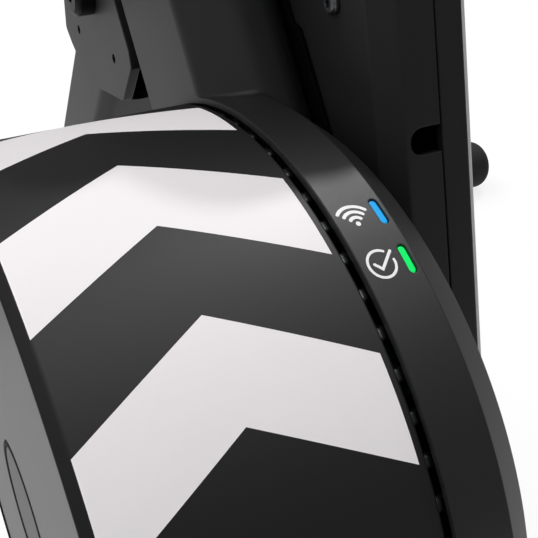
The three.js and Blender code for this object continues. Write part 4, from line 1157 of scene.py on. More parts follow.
class TRAINER_OT_lights(bpy.types.Operator):
    """Make the ring's two lights and the signs beside them"""

    bl_idname = "trainer.lights"
    bl_label = "Lights and signs"
    bl_options = {"REGISTER", "UNDO"}

    def execute(self, context):
        look = context.scene.trainer_casting
        lamps = {"link_lens": (look.blue, "blue_lens"), "ready_lens": (look.green, "green_lens")}
        flat = shrinking(upright_stroke(3.0, 2.15))
        levels = [
            (flat(inset), height)
            for height, inset in ((-3.4, 0), (-0.75, 0), (-0.5, 0.12), (-0.4, 0.4))
        ]
        for name, (light, slot) in lamps.items():
            glow = finish(name + "_light", lit_lens, tuple(light), 0.92)
            make(name, [wrapped(levels, LENSES[name])], "frame", glow, slot)

        ink = finish("sign_ink", print_ink, tuple(look.print_colour))
        waves = [circle(0.72, 24)]
        waves += [stroke(arc_points(radius, 43, 137), 0.98) for radius in (2.15, 4.0, 5.85)]
        ready = [
            stroke(arc_points(3.95, 57, 366, 60), 0.75),
            stroke([(-2.1, 0.25), (-0.45, -1.45), (4.1, 3.0)], 0.8),
        ]
        below, above = -0.02, 0.06
        for name, lines, at in (
            ("link_sign", waves, (-46.45, 51.25)), ("ready_sign", ready, (-46.4, 64.05)),
        ):
            sign = [wrapped([(line, below), (line, above)], at) for line in lines]
            make(name, sign, "frame", ink, nodes=())
        return {"FINISHED"}


COVER_LOW, COVER_HIGH = 48.0, 99.0


def cover_outline(out=0.0):
    """The belt cover's outline, grown by a distance, as a shrinking outline."""
    return shrinking(band((0, 0), COVER_LOW + out, HUB, COVER_HIGH + out, 72))


def behind_cover(rise):
    """A point at a rise along the cover's rear face, and the heading of that face's normal."""
    run = Vector(HUB)
    normal = math.atan2(run.y, run.x) + math.acos((COVER_LOW - COVER_HIGH) / run.length)
    return (
        COVER_LOW * math.cos(normal) + rise * math.sin(normal),
        COVER_LOW * math.sin(normal) - rise * math.cos(normal),
    ), normal


class TRAINER_OT_cover(bpy.types.Operator):
    """Make the belt cover's two shells and its side plate"""

    bl_idname = "trainer.cover"
    bl_label = "Belt cover"
    bl_options = {"REGISTER", "UNDO"}

    def execute(self, context):
        look = context.scene.trainer_cover
        chamfer, wall = look.chamfer / MM, look.wall / MM
        left, seam, right = HOUSING_RIGHT, 2.6, 13.0
        outline = cover_outline()
        inner = stack(outline, [
            (left, chamfer + 0.6), (left + 0.1, chamfer + 0.2), (left + 0.3, chamfer - 0.3),
            (left + chamfer - 0.5, 0.45), (left + chamfer, 0.12), (left + chamfer + 0.8, 0.0),
            (seam - 0.6, 0.0), (seam - 0.2, 0.12), (seam, 0.5), (seam, wall),
            (left + chamfer, wall), (left + wall, chamfer),
        ])
        holes = [bored(left - 2, left + 5, 24, HUB), bored(left - 2, left + 5, 17.5)]
        holes.append(self.slot(look.slot_height / MM / 2, seam))
        make("inner_belt_cover", [inner], "frame", black_plastic(), "black_plastic", cut=holes)

        outer = stack(outline, [
            (right, 1.4), (right - 0.15, 0.7), (right - 0.6, 0.2), (right - 1.2, 0.0),
            (seam + 0.9, 0.0), (seam + 0.5, 0.12), (seam + 0.3, 0.5), (seam + 0.3, wall),
            (right - wall, wall),
        ])
        make("outer_belt_cover", [outer], "frame", black_plastic(), "black_plastic",
             cut=[bored(right - 9, right + 3, 20.6, HUB)])

        raised, top = right + 1.3, right + 1.8
        plate = stack(cover_outline(-1.2), [
            (right + 0.02, 0.0), (raised, 0.0), (top, 0.5), (top, 3.2), (raised, 3.7),
        ])
        edge = finish("pale_plate", brushed_plate, tuple(look.edge), 0.35)
        made = make("cover_side_plate", [plate], "frame", edge, "pale_plate",
                    cut=[bored(right - 4, right + 4, 23, HUB)])
        painted_where(made, black_plastic(), lambda middle, face: (
            face.normal.x > 0.9 and middle.x < right + 1.6
        ))
        return {"FINISHED"}

    def slot(self, half, seam):
        """The slot through the rear wall, drawn along the wall and turned on to it."""
        (y, z), normal = behind_cover(104)
        shape = stroke([(-11.5 + half, 0), (0, 0), (9, 0)], 2 * half)
        turn = Matrix((
            (1, 0, 0, seam),
            (0, math.sin(normal), math.cos(normal), y),
            (0, -math.cos(normal), math.sin(normal), z),
            (0, 0, 0, 1),
        ))
        return placed(skin([[(a, b, depth) for a, b in shape] for depth in (-8, 8)]), turn)


class TRAINER_OT_cover_screws(bpy.types.Operator):
    """Make the belt cover's four screws"""

    bl_idname = "trainer.cover_screws"
    bl_label = "Cover screws"
    bl_options = {"REGISTER", "UNDO"}

    def execute(self, context):
        for i in range(4):
            name = f"cover_screw_{i + 1}"
            low, high = local_box(name)
            at = (local_centre(name).y, local_centre(name).z)
            under, head = low.x + 2.2, 3.6
            profile = rounded([
                (high.x, 0), (high.x, 1.5, 0.5), (under, 1.7), (under, head, 0.3),
                (low.x + 0.9, head, 0.5), (low.x, 2.6, 0.7), (low.x, 0),
            ])
            steel = finish("screw_steel", plated, tone(0x8E9094), 0.3)
            make(name, [lathe(profile, 48, at)], "frame", steel, "bright_steel",
                 cut=[hexagon(low.x - 1, low.x + 1.5, 1.5, at)])
        return {"FINISHED"}


# The cheek plates and their holes are in shares of a reach from the main bolt
CHEEK_REACH = 45
CHEEK = [
    (-0.28, 0.72), (-0.987, -0.258), (-1.018, -0.398), (-0.72, -0.8), (0.3, -0.97),
    (0.77, -0.7), (0.924, -0.576), (0.88, -0.267), (0.7, 0.364), (0.37, 0.92),
]
CHEEK_HOLES = [(-0.57, -0.45), (0.45, -0.47), (0.29, 0.43)]
FRONT_BAR = (341.6, -151.0)
REAR_BAR = (-136.0, -141.7)


def on_cheek(y, z):
    """A point of the cheek plates, drawn in shares of their reach from the main bolt."""
    return (BOLTS[0][0] + CHEEK_REACH * y, BOLTS[0][1] + CHEEK_REACH * z)


def rounded_box(width, depth, radius, inset=0.0):
    """A rectangle about the origin with rounded corners, drawn in by an inset."""
    w, d = width / 2 - inset, depth / 2 - inset
    r = max(radius - inset, 0.5)
    return rounded([(-w, -d, r), (w, -d, r), (w, d, r), (-w, d, r)], 9)


def upright_tube(width, depth, corner, levels):
    """Rings of a rounded box, drawn in by an inset at each height."""
    return [
        [(a, b, z) for a, b in rounded_box(width, depth, corner, inset)] for z, inset in levels
    ]


class TRAINER_OT_front_leg(bpy.types.Operator):
    """Make the front leg, a rounded box tube between two cheek plates"""

    bl_idname = "trainer.front_leg"
    bl_label = "Front leg"
    bl_options = {"REGISTER", "UNDO"}

    def execute(self, context):
        left, right = HOUSING_LEFT, HOUSING_RIGHT
        corner = context.scene.trainer_stand.leg_corner / MM
        width, depth, wall, offset, floor = right - left, 41, 4, 11.7, 23
        run = Vector((FRONT_BAR[0] - BOLTS[0][0], BOLTS[0][1] - FRONT_BAR[1]))
        lean = math.atan2(run.x, run.y) + math.asin(offset / run.length)
        top = math.sqrt(run.length**2 - offset**2) - 22
        levels = [(8, 1.0), (8.6, 0.3), (9.5, 0), (top - 0.8, 0), (top - 0.2, 0.25), (top, 0.8)]
        rings = upright_tube(width, depth, corner, levels)
        inside = [(top, 0), (floor, 0)]
        rings += upright_tube(width - 2 * wall, depth - 2 * wall, corner - wall, inside)
        place = along((LEG_MIDDLE, *FRONT_BAR), lean)
        cheek = shrinking(rounded([(*on_cheek(y, z), 3) for y, z in CHEEK], 10))
        cheeks = [slab(cheek, x, x + wall, 0.5, 0.5, 3) for x in (left, right - wall)]
        notch = skin([[(a, b, top + c) for a, c in circle(14, 64)] for b in (-30, 0)])
        cut = [placed(notch, place), bored(left - 4, right + 4, 19.3, FRONT_BAR)]
        cut += [bored(left - 4, right + 4, BOLT_HOLE, bolt, 32) for bolt in BOLTS]
        cut += [bored(left - 4, left + 8, 1.9, on_cheek(y, z), 24) for y, z in CHEEK_HOLES]
        make("front_leg", [placed(skin(rings), place)], "frame", black_steel(), "black_steel",
             joined=cheeks, cut=cut, sharp=28)
        return {"FINISHED"}


class TRAINER_OT_leg_bolts(bpy.types.Operator):
    """Make the two bolts that hold the front leg's cheek plates"""

    bl_idname = "trainer.leg_bolts"
    bl_label = "Leg bolts"
    bl_options = {"REGISTER", "UNDO"}

    def execute(self, context):
        black = finish("bolt_black", plated, tone(0x2A2B2D), 0.4)
        stem, head = 4.8, 9
        for name, bolt in zip(("leg_bolt_main", "leg_bolt_upper"), BOLTS):
            low, high = local_box(name)
            seat = HOUSING_LEFT + 0.02
            profile = rounded([
                (high.x, 0), (high.x, stem), (seat, stem), (seat, head, 0.4),
                (low.x + 1.5, head, 2.2), (low.x, 7.2, 1.0), (low.x, 0),
            ])
            make(name, [lathe(profile, 64, bolt)], "frame", black, "dark_steel",
                 cut=[hexagon(low.x - 1, low.x + 4, 3.5, bolt)])
        return {"FINISHED"}


class TRAINER_OT_front_bar(bpy.types.Operator):
    """Make the bent front cross bar and its two rubber caps"""

    bl_idname = "trainer.front_bar"
    bl_label = "Front cross bar"
    bl_options = {"REGISTER", "UNDO"}

    def execute(self, context):
        end, straight, bent, ahead, steps = 363, 60, 263, 40.4, 96
        path = []
        for i in range(steps + 1):
            x = (2 * i / steps - 1) * end
            part = min(max((abs(x) - straight) / bent, 0), 1)
            path.append((x, FRONT_BAR[0] + ahead * part * part * (3 - 2 * part), FRONT_BAR[1]))
        make("front_cross_bar", [sweep(path, [19] * len(path), 56)], "frame", black_steel(),
             "black_steel")
        at = (path[-1][1], path[-1][2])
        fit, skirt, cap, sole = 19.3, 347, 22, -21
        profile = rounded([
            (end + 0.3, 0), (end + 0.3, fit), (skirt, fit), (skirt, cap, 1.2), (352.5, cap, 0.8),
            (353, cap - 0.6, 0.5), (354.5, cap - 0.6, 0.5), (355, cap, 0.8), (385, cap, 12),
            (385, 0),
        ], 7)
        corners, faces = lathe(profile, 96)
        corners = [(x, y + at[0], max(z, sole) + at[1]) for x, y, z in corners]
        for name, side in (("front_end_cap_left", -1), ("front_end_cap_right", 1)):
            shell = sided((corners, faces), side)
            make(name, [shell], "frame", black_rubber(), "black_rubber")
        return {"FINISHED"}


class TRAINER_OT_rear_leg(bpy.types.Operator):
    """Make the rear leg, from the ring down to the rear cross bar"""

    bl_idname = "trainer.rear_leg"
    bl_label = "Rear leg"
    bl_options = {"REGISTER", "UNDO"}

    def execute(self, context):
        corner = context.scene.trainer_stand.leg_corner / MM
        width = HOUSING_RIGHT - HOUSING_LEFT - 5.2
        rings = upright_tube(width, 40, corner, [(8, 1.0), (8.6, 0.3), (9.5, 0), (103, 0)])
        bar = placed(skin(rings), along((LEG_MIDDLE, *REAR_BAR), -LEAN))
        make("rear_leg", [bar], "frame", black_steel(), "black_steel",
             cut=[lathe(ring_shell(GAP), 240), bored(-60, -10, 16.3, REAR_BAR)])
        return {"FINISHED"}


class TRAINER_OT_rear_bar(bpy.types.Operator):
    """Make the rear cross bar, with bosses for its feet, and its two plugs"""

    bl_idname = "trainer.rear_bar"
    bl_label = "Rear cross bar"
    bl_options = {"REGISTER", "UNDO"}

    def execute(self, context):
        end, outside, foot = 172, 16, 150
        tube = lathe(rounded([
            (-end, 0), (-end, outside, 0.8), (end, outside, 0.8), (end, 0),
        ]), 64, REAR_BAR)
        joined, cut = [], []
        for side in (-1, 1):
            place = Matrix.Translation((side * foot, *REAR_BAR))
            boss = upright(lathe(rounded([(-18, 0), (-18, 10, 0.8), (2, 10), (2, 0)]), 48))
            hole = upright(bored(-20, 30, 4.3, sides=32))
            joined.append(placed(boss, place))
            cut.append(placed(hole, place))
        make("rear_cross_bar", [tube], "frame", black_steel(), "black_steel",
             joined=joined, cut=cut)
        fit, rim, out = 13.2, 17, 178
        plug = lathe(rounded([
            (160, 0), (160, fit, 0.5), (end + 0.02, fit), (end + 0.02, rim, 0.4),
            (out, rim, 2.8), (out, 0),
        ]), 64, REAR_BAR)
        for name, side in (("rear_end_plug_left", -1), ("rear_end_plug_right", 1)):
            make(name, [sided(plug, side)], "frame", black_plastic(), "black_plastic")
        return {"FINISHED"}


def lobed(sides, radius, depth, lobes):
    """A circle with rounded lobes of a depth."""
    points = []
    for i in range(sides):
        turn = math.tau * i / sides
        reach = radius - depth * (0.5 - 0.5 * math.cos(lobes * turn))
        points.append((reach * math.cos(turn), reach * math.sin(turn)))
    return points


class TRAINER_OT_levelling_feet(bpy.types.Operator):
    """Make the levelling feet, each a lobed knob on a threaded stud"""

    bl_idname = "trainer.levelling_feet"
    bl_label = "Levelling feet"
    bl_options = {"REGISTER", "UNDO"}

    def execute(self, context):
        body = stack(shrinking(lobed(192, 18, 3, 8)), [
            (0.0, 3.0), (0.0, 1.2), (0.5, 0.5), (1.2, 0.0), (3.4, 0.0), (3.8, 0.5), (4.2, 0.5),
            (4.6, 0.0), (8.6, 0.0), (10.0, 0.5), (11.0, 1.6), (11.7, 4.0),
        ])
        pitch, crest, root, knob_top = 1.25, 4.0, 3.45, 11.75
        thread = [(11, 0), (11, 4)]
        for i in range(19):
            thread += [(12 + pitch * i, crest), (12.6 + pitch * i, root)]
        thread += [(37.0, 3.4), (37.7, 2.8), (37.7, 0)]
        for name in ("levelling_foot_left", "levelling_foot_right"):
            low, at = local_box(name)[0], local_centre(name)
            shells = [
                shifted(upright(shell), at.x, at.y, low.z) for shell in (body, lathe(thread, 40))
            ]
            made = make(name, shells, name, black_rubber(), "black_rubber")
            painted_where(made, dark_steel(), lambda middle, _: middle.z > low.z + knob_top)
        return {"FINISHED"}


def catmull(points, steps=8):
    """A smooth line through points, with centripetal spacing."""
    points = [Vector(p) for p in points]
    padded = [points[0] * 2 - points[1], *points, points[-1] * 2 - points[-2]]
    line = []
    for i in range(1, len(padded) - 2):
        p0, p1, p2, p3 = padded[i - 1:i + 3]
        t1 = math.sqrt((p1 - p0).length)
        t2 = t1 + math.sqrt((p2 - p1).length)
        t3 = t2 + math.sqrt((p3 - p2).length)
        for k in range(steps + (i == len(padded) - 3)):
            t = t1 + (t2 - t1) * k / steps
            a1 = p0 * ((t1 - t) / t1) + p1 * (t / t1)
            a2 = p1 * ((t2 - t) / (t2 - t1)) + p2 * ((t - t1) / (t2 - t1))
            a3 = p2 * ((t3 - t) / (t3 - t2)) + p3 * ((t - t2) / (t3 - t2))
            b1 = a1 * ((t2 - t) / t2) + a2 * (t / t2)
            b2 = a2 * ((t3 - t) / (t3 - t1)) + a3 * ((t - t1) / (t3 - t1))
            line.append(b1 * ((t2 - t) / (t2 - t1)) + b2 * ((t - t1) / (t2 - t1)))
    return line


CHAIN_PITCH = 12.7
SPROCKET_GAP = 3.7
SPROCKETS_LEFT = 17.0
TEETH = [28, 25, 23, 21, 19, 17, 15, 14, 13, 12, 11]


class TRAINER_OT_axle(bpy.types.Operator):
    """Make the hub's axle and the two end caps that the bike's dropouts sit on"""

    bl_idname = "trainer.axle"
    bl_label = "Axle"
    bl_options = {"REGISTER", "UNDO"}

    def execute(self, context):
        steel = bright_steel()
        bore, seat, cap, groove, end = 3.3, 7.8, 10.7, 10.2, 60.3
        for name in ("axle_cap_left", "axle_cap_right"):
            low, high = local_box(name)
            side = -1 if low.x < 0 else 1
            inner, outer = min(abs(low.x), abs(high.x)), max(abs(low.x), abs(high.x))
            profile = rounded([
                (inner, seat), (inner, cap, 0.4), (outer - 2.4, cap, 0.4),
                (outer - 2.2, groove, 0.3), (outer - 1.6, groove, 0.3), (outer - 1.4, cap, 0.3),
                (outer, cap, 0.7), (outer, bore, 0.4), (end, bore), (end, seat),
            ])
            make(name, [sided(lathe(profile, 72, HUB), side)], "frame", steel, "bright_steel")
        low, high = local_box("hub_axle")
        shaft = rounded([
            (low.x, bore, 0.3), (low.x, 7.5, 0.4), (high.x, 7.5, 0.4), (high.x, bore, 0.3),
        ])
        make("hub_axle", [lathe(shaft, 64, HUB)], "frame", steel, "bright_steel")
        return {"FINISHED"}


class TRAINER_OT_sprockets(bpy.types.Operator):
    """Make the sprockets on their carrier, and their lockring"""

    bl_idname = "trainer.sprockets"
    bl_label = "Sprockets"
    bl_options = {"REGISTER", "UNDO"}

    def execute(self, context):
        look = context.scene.trainer_hub
        steel = finish("sprocket_steel", turned_metal, tuple(look.sprocket), 0.3, HUB)
        left = SPROCKETS_LEFT
        shells = [
            self.sprocket(teeth, left + SPROCKET_GAP * i, look.tooth_depth / MM)
            for i, teeth in enumerate(TEETH)
        ]
        bore, right = 17.6, left + 38.6
        carrier = rounded([(left, bore), (left, 20.6, 0.3), (right, 20.0, 0.3), (right, bore)])
        shells.append(lathe(carrier, 96, HUB))
        make("cassette", shells, "freehub", steel, "bright_steel")

        low, high = local_box("cassette_lockring")
        flange, rim, sunk = 56.4, 16.6, high.x - 0.8
        ring = rounded([
            (low.x, 12), (low.x, 14), (flange, 14), (flange, rim, 0.3), (high.x, rim, 0.6),
            (high.x, 14.2, 0.3), (sunk, 13.8), (sunk, 12, 0.3),
        ])
        notches = [
            bored(high.x - 1.4, high.x + 2, 0.9, at, 12) for at in circle(12.4, 12, HUB)
        ]
        make("cassette_lockring", [lathe(ring, 96, HUB)], "freehub", dark_steel(), "dark_steel",
             cut=notches)
        return {"FINISHED"}

    def sprocket(self, teeth, start, depth):
        """One toothed disc, from its place along X."""
        root = CHAIN_PITCH / (2 * math.sin(math.pi / teeth)) - 4.0
        tip = root + depth
        tooth = [
            (0.0, root), (0.12, root + 0.35), (0.22, root + 1.8), (0.33, root + 4.0),
            (0.42, tip - 0.35), (0.5, tip), (0.58, tip - 0.35), (0.67, root + 4.0),
            (0.78, root + 1.8), (0.88, root + 0.35),
        ]
        outline = []
        for i in range(teeth):
            for share, radius in tooth:
                turn = math.tau * (i + share) / teeth
                outline.append((radius * math.cos(turn), radius * math.sin(turn)))
        disc = stack(shrinking(outline), [
            (start, 0.45), (start + 0.45, 0.0), (start + 1.15, 0.0), (start + 1.6, 0.45),
        ])
        return shifted(disc, 0, *HUB)


class TRAINER_OT_quick_release(bpy.types.Operator):
    """Make the quick release's skewer, nut and lever"""

    bl_idname = "trainer.quick_release"
    bl_label = "Quick release"
    bl_options = {"REGISTER", "UNDO"}

    def execute(self, context):
        steel = finish("skewer_steel", turned_metal, tone(0xB6B8BB), 0.28, HUB)
        low, high = local_box("quick_release_nut")
        nut = stack(shrinking(lobed(144, 9, 0.35, 24)), [
            (low.x, 1.0), (low.x + 0.4, 0.2), (low.x + 1.0, 0.0), (high.x - 1.4, 0.0),
            (high.x - 0.5, 0.5), (high.x, 1.6), (high.x, 4.5), (high.x - 0.8, 5.2),
        ])
        make("quick_release_nut", [shifted(nut, 0, *HUB)], "frame", steel, "bright_steel")

        turned = Matrix.Rotation(math.atan2(BACK[1], BACK[0]), 4, "X")
        face, back, wide, half = -71, -83.4, 12, 3.8
        head = rounded([(face, 0), (face, 9, 0.6), (-79, 9, 1.4), (back, 7.6, 0.8), (back, 0)])
        slot = slab(shrinking([
            (-wide, -half), (wide, -half), (wide, half), (-wide, half),
        ]), -95, -73.5)
        place = Matrix.Translation((0, *HUB)) @ turned
        make("quick_release_skewer", [placed(lathe(head, 64), place)], "frame", steel,
             "bright_steel", joined=[placed(bored(-72, 80, 2.5, sides=32), place)],
             cut=[placed(slot, place)])

        cam = placed(
            lathe(rounded([(-3.5, 0), (-3.5, 6.4, 0.5), (3.5, 6.4, 0.5), (3.5, 0)]), 48),
            Matrix.Rotation(math.pi / 2, 4, "Y"),
        )
        root = slab(shrinking(rounded_box(7, 7, 1.5)), -8.5, 0, 0.5, 0)
        place = Matrix.Translation((-80.2, *HUB)) @ turned
        lever = finish("lever_alloy", plated, tuple(context.scene.trainer_hub.lever), 0.3)
        make("quick_release_lever", [placed(shell, place) for shell in (cam, self.blade(), root)],
             "quick_release_lever", lever, "lever_alloy")
        return {"FINISHED"}

    def blade(self):
        """The lever's blade, wider and thinner towards its rounded end."""
        steps, rounding, corner = 24, 0.88, 1.2
        rings = []
        for i in range(steps + 1):
            share = i / steps
            half = 3.4 + 3.8 * math.sin(min(share * 1.15, 1) * math.pi / 2) ** 2
            if share > rounding:
                half *= math.sqrt(max(1 - ((share - rounding) / 0.125) ** 2, 0.02))
            lift = -6.9 - 1.6 * math.sin(share * math.pi) ** 2 - 1.2 * share
            thick = 2.4 - 0.6 * share
            section = rounded([
                (-half, -thick, corner), (half, -thick, corner),
                (half, thick, corner), (-half, thick, corner),
            ], 18)
            rings.append([(lift + b, 2 + 55 * share, a) for a, b in section])
        return skin(rings)


class TRAINER_OT_handle(bpy.types.Operator):
    """Make the carry handle, a grooved loop on two flanged feet"""

    bl_idname = "trainer.handle"
    bl_label = "Carry handle"
    bl_options = {"REGISTER", "UNDO"}

    def execute(self, context):
        groove = context.scene.trainer_hub.grip_groove / MM
        front, rear = HANDLE_ANGLES
        start, reach = 34.3, 84
        shares = [(0, 0), (0.35, 0), (0.75, 0.06), (1, 0.24), (1, 0.5)]
        shares += [(out, 1 - turn) for out, turn in reversed(shares[:-1])]
        points = []
        for out, turn in shares:
            radius = start + (reach - start) * out
            angle = math.radians(rear - (rear - front) * turn)
            points.append((
                LEG_MIDDLE, HUB[0] + radius * math.cos(angle), HUB[1] + radius * math.sin(angle),
            ))
        path = catmull(points, 40)
        grip, pitch, ribbed_share, tube, swell = [], 5.2, 0.27, 10, 0.35
        total = sum((path[i] - path[i - 1]).length for i in range(1, len(path)))
        travelled = 0.0
        for i, p in enumerate(path):
            travelled += (p - path[i - 1]).length if i else 0
            ribbed = 1 if abs(travelled / total - 0.5) < ribbed_share else 0
            dip = max(0, math.cos(math.tau * travelled / pitch)) ** 3
            grip.append(tube - groove * dip * ribbed + swell * ribbed)
        shells = [sweep(path, grip, 48)]
        for angle in HANDLE_ANGLES:
            foot = upright(lathe(rounded([
                (start, 0), (start, 13, 0.6), (37.2, 13, 1.4), (38.6, 10.6, 2.5), (42.5, 9.6),
                (42.5, 0),
            ]), 64))
            turn = Matrix.Rotation(math.radians(angle - 90), 4, "X")
            shells.append(shifted(placed(foot, turn), LEG_MIDDLE, *HUB))
        make("carry_handle", shells, "frame", black_plastic(), "black_plastic")
        return {"FINISHED"}


class TRAINER_OT_inlet(bpy.types.Operator):
    """Make the power inlet, a socket with a pin"""

    bl_idname = "trainer.inlet"
    bl_label = "Power inlet"
    bl_options = {"REGISTER", "UNDO"}

    def execute(self, context):
        inlet = local_centre("power_inlet")
        low, high = local_box("power_inlet")
        at = (inlet.y, inlet.z)
        bottom, pin_end, pin_radius = high.x - 9, high.x - 2, 1.1
        profile = rounded([
            (low.x, 0), (low.x, 7, 0.5), (high.x - 2, 7, 0.3), (high.x, 7, 0.9), (high.x, 4, 0.5),
            (bottom, 4, 0.3), (bottom, 0),
        ])
        pin = rounded([
            (bottom - 0.5, 0), (bottom - 0.5, pin_radius), (pin_end, pin_radius, 0.4),
            (pin_end, 0),
        ])
        made = make("power_inlet", [lathe(profile, 64, at), lathe(pin, 24, at)], "frame",
                    black_plastic(), "black_plastic")
        painted_where(made, dark_steel(), lambda middle, _: (
            math.hypot(middle.y - at[0], middle.z - at[1]) < 1.3 and middle.x > bottom + 0.1
        ))
        return {"FINISHED"}


class TRAINER_OT_inside(bpy.types.Operator):
    """Finish the brake, belt drive and bearings that keep their CAD shapes"""

    bl_idname = "trainer.inside"
    bl_label = "Brake, belt and bearings"
    bl_options = {"REGISTER", "UNDO"}

    def execute(self, context):
        axis = (0, 0)
        shaft = finish("shaft_steel", turned_metal, tone(0xB4B6B9), 0.26, axis)
        copper = finish("brake_copper", turned_metal, tone(0xB87048), 0.3, axis)
        coils = [f"stator_coil_{i + 1}" for i in range(6)]
        for metal, nodes in (
            (shaft, ("shaft_bearing_left", "shaft_bearing_right", "flywheel_shaft",
                     "flywheel_nut", "small_pulley")),
            (bright_steel(), ("pulley_bearing_left", "pulley_bearing_right", "freehub_body",
                              "freehub_bearing_inner", "freehub_bearing_outer")),
            (dark_steel(), ("tensioner_arm", "tensioner_bolt", "tensioner_idler")),
            (finish("pulley_alloy", turned_metal, tone(0xA4A6A9), 0.32, HUB), ("drive_pulley",)),
            (black_rubber(), ("drive_belt",)),
            (copper, ("brake_ring",)),
            (finish("stator_steel", laminated, tone(0x6A6C70)), ("stator_core",)),
            (finish("coil_wire", wound_copper, tone(0xB26A3E)), coils),
            (finish("board_lacquer", circuit_board, tone(0x1C5A3A)), ("control_board",)),
        ):
            for node in nodes:
                finish_node(node, metal)
        return {"FINISHED"}


# The camera's place is in metres and its angles in degrees
CAMERA_AT = (-0.1590, -0.3388, 0.3950)
CAMERA_DOWN, CAMERA_RIGHT = 32.45, 27.82
SUN_FROM = Vector((0.505, 0.353, 0.788))
SUN_WIDTH = 3
SIDE_BOX_FROM = Vector((-0.68, 0.42, 0.72)).normalized()
TOP_BOX_FROM = Vector((0.3, 0, 0.95)).normalized()
TOP_BOX_EDGE = (0.81, 0.98)


class TRAINER_OT_stage(bpy.types.Operator):
    """Make the floor, the lights and the camera"""

    bl_idname = "trainer.stage"
    bl_label = "Stage"
    bl_options = {"REGISTER", "UNDO"}

    def execute(self, context):
        scene = context.scene
        look = scene.trainer_stage
        self.camera(scene, look)
        self.floor(scene, look)
        self.sky(scene, look)
        self.sun(scene, look)
        scene.view_settings.view_transform = "Standard"
        return {"FINISHED"}

    def camera(self, scene, look):
        data = bpy.data.cameras.new("camera")
        data.lens = look.lens
        data.sensor_width = 36
        data.clip_start = 0.01
        camera = bpy.data.objects.new("camera", data)
        scene.collection.objects.link(camera)
        camera.location = CAMERA_AT
        camera.rotation_euler = (
            math.radians(90 - CAMERA_DOWN), 0, math.radians(-CAMERA_RIGHT)
        )
        scene.camera = camera

    def floor(self, scene, look):
        """A pale disc that glossy surfaces and the camera see as a bright card."""
        mesh = bpy.data.meshes.new("floor")
        ring = circle(12, 96)
        mesh.from_pydata([(x, y, 0) for x, y in ring], [], [tuple(range(len(ring)))])
        sheet = bpy.data.objects.new("floor", mesh)
        scene.collection.objects.link(sheet)
        recipe = Recipe("floor", tuple(look.floor), 0.7)
        mesh.materials.append(recipe.material)
        grain = recipe.noise(20, 2)
        recipe.dress(roughness=0.65 + grain * 0.1)
        white, dim = [
            recipe.node("ShaderNodeEmission", sockets={"Color": (1, 1, 1), "Strength": strength})
            for strength in (1.0, look.flag)
        ]
        ahead, fading = recipe.y - 700, 900
        near = 1 - recipe.x.away(ahead).rise(fading, look.pool / MM)
        seen = recipe.rays("Camera", "Transmission")
        card = recipe.mixed((near * 0.7 + seen).kept(0, 1), dim, white)
        share = (recipe.rays("Glossy") + seen * 0.8).kept(0, 1)
        recipe.show(recipe.mixed(share, recipe.shader, card))

    def sky(self, scene, look):
        """White to the camera. A soft box above and one above the left light the rest."""
        world = bpy.data.worlds.new("sky")
        scene.world = world
        nodes = Nodes(world)
        heading = nodes.node("ShaderNodeTexCoord", output="Generated")
        soft = look.sky + look.side_box * heading.dot(SIDE_BOX_FROM).kept(0, 1).power(4)
        mirrored = look.flag + 0.2 * heading.dot((0, 0, 1)).kept(0, 1)
        mirrored = mirrored + look.top_box * heading.dot(TOP_BOX_FROM).rise(*TOP_BOX_EDGE)
        glossy = nodes.rays("Glossy")
        seen = nodes.rays("Camera", "Transmission")
        strength = soft * (1 - glossy) + mirrored * glossy
        strength = strength * (1 - seen) + seen
        background = nodes.node("ShaderNodeBackground", sockets={
            "Color": (1, 1, 1), "Strength": strength,
        })
        nodes.node("ShaderNodeOutputWorld", sockets={"Surface": background})

    def sun(self, scene, look):
        data = bpy.data.lights.new("key", "SUN")
        data.energy = look.key
        data.angle = math.radians(SUN_WIDTH)
        key = bpy.data.objects.new("key", data)
        scene.collection.objects.link(key)
        key.rotation_euler = SUN_FROM.to_track_quat("Z", "Y").to_euler()


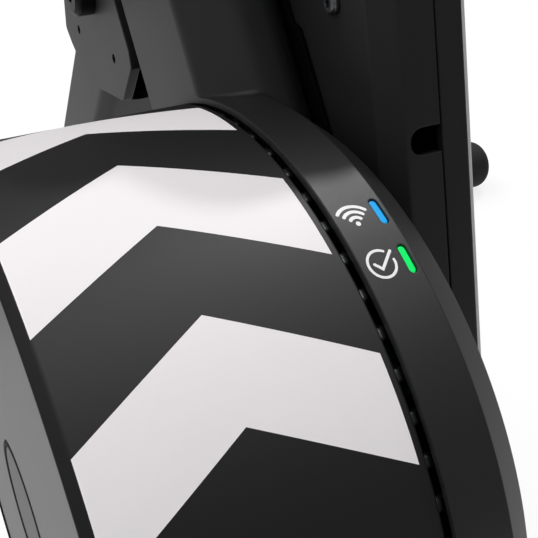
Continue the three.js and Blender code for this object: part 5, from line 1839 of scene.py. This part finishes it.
class TRAINER_PT_panel(bpy.types.Panel):
    """The trainer's operators and settings"""

    bl_idname = "TRAINER_PT_panel"
    bl_label = "Bike trainer"
    bl_space_type = "VIEW_3D"
    bl_region_type = "UI"
    bl_category = "Trainer"

    def draw(self, context):
        for kind, name in PARTS:
            self.layout.operator(kind.bl_idname)
            if name:
                settings = getattr(context.scene, name)
                for key in settings.__annotations__:
                    self.layout.prop(settings, key)


LOOKS = {
    "trainer_flywheel": FlywheelLook, "trainer_casting": CastingLook, "trainer_cover": CoverLook,
    "trainer_stand": StandLook, "trainer_hub": HubLook, "trainer_stage": StageLook,
}
PARTS = [
    (TRAINER_OT_stage, "trainer_stage"), (TRAINER_OT_flywheel, "trainer_flywheel"),
    (TRAINER_OT_housing, "trainer_casting"), (TRAINER_OT_lights, None),
    (TRAINER_OT_cover, "trainer_cover"), (TRAINER_OT_cover_screws, None),
    (TRAINER_OT_front_leg, "trainer_stand"), (TRAINER_OT_leg_bolts, None),
    (TRAINER_OT_front_bar, None), (TRAINER_OT_rear_leg, None), (TRAINER_OT_rear_bar, None),
    (TRAINER_OT_levelling_feet, None), (TRAINER_OT_axle, "trainer_hub"),
    (TRAINER_OT_sprockets, None), (TRAINER_OT_quick_release, None), (TRAINER_OT_handle, None),
    (TRAINER_OT_inlet, None), (TRAINER_OT_inside, None),
]
CLASSES = [*LOOKS.values(), *(kind for kind, _ in PARTS), TRAINER_PT_panel]


def register():
    for each in CLASSES:
        bpy.utils.register_class(each)
    for name, look in LOOKS.items():
        setattr(bpy.types.Scene, name, bpy.props.PointerProperty(type=look))


def unregister():
    for name in LOOKS:
        delattr(bpy.types.Scene, name)
    for each in reversed(CLASSES):
        bpy.utils.unregister_class(each)


def main():
    register()
    bpy.ops.trainer.stage()
    bpy.ops.trainer.flywheel()
    bpy.ops.trainer.housing()
    bpy.ops.trainer.lights()
    bpy.ops.trainer.cover()
    bpy.ops.trainer.cover_screws()
    bpy.ops.trainer.front_leg()
    bpy.ops.trainer.leg_bolts()
    bpy.ops.trainer.front_bar()
    bpy.ops.trainer.rear_leg()
    bpy.ops.trainer.rear_bar()
    bpy.ops.trainer.levelling_feet()
    bpy.ops.trainer.axle()
    bpy.ops.trainer.sprockets()
    bpy.ops.trainer.quick_release()
    bpy.ops.trainer.handle()
    bpy.ops.trainer.inlet()
    bpy.ops.trainer.inside()


if __name__ == "__main__":
    main()
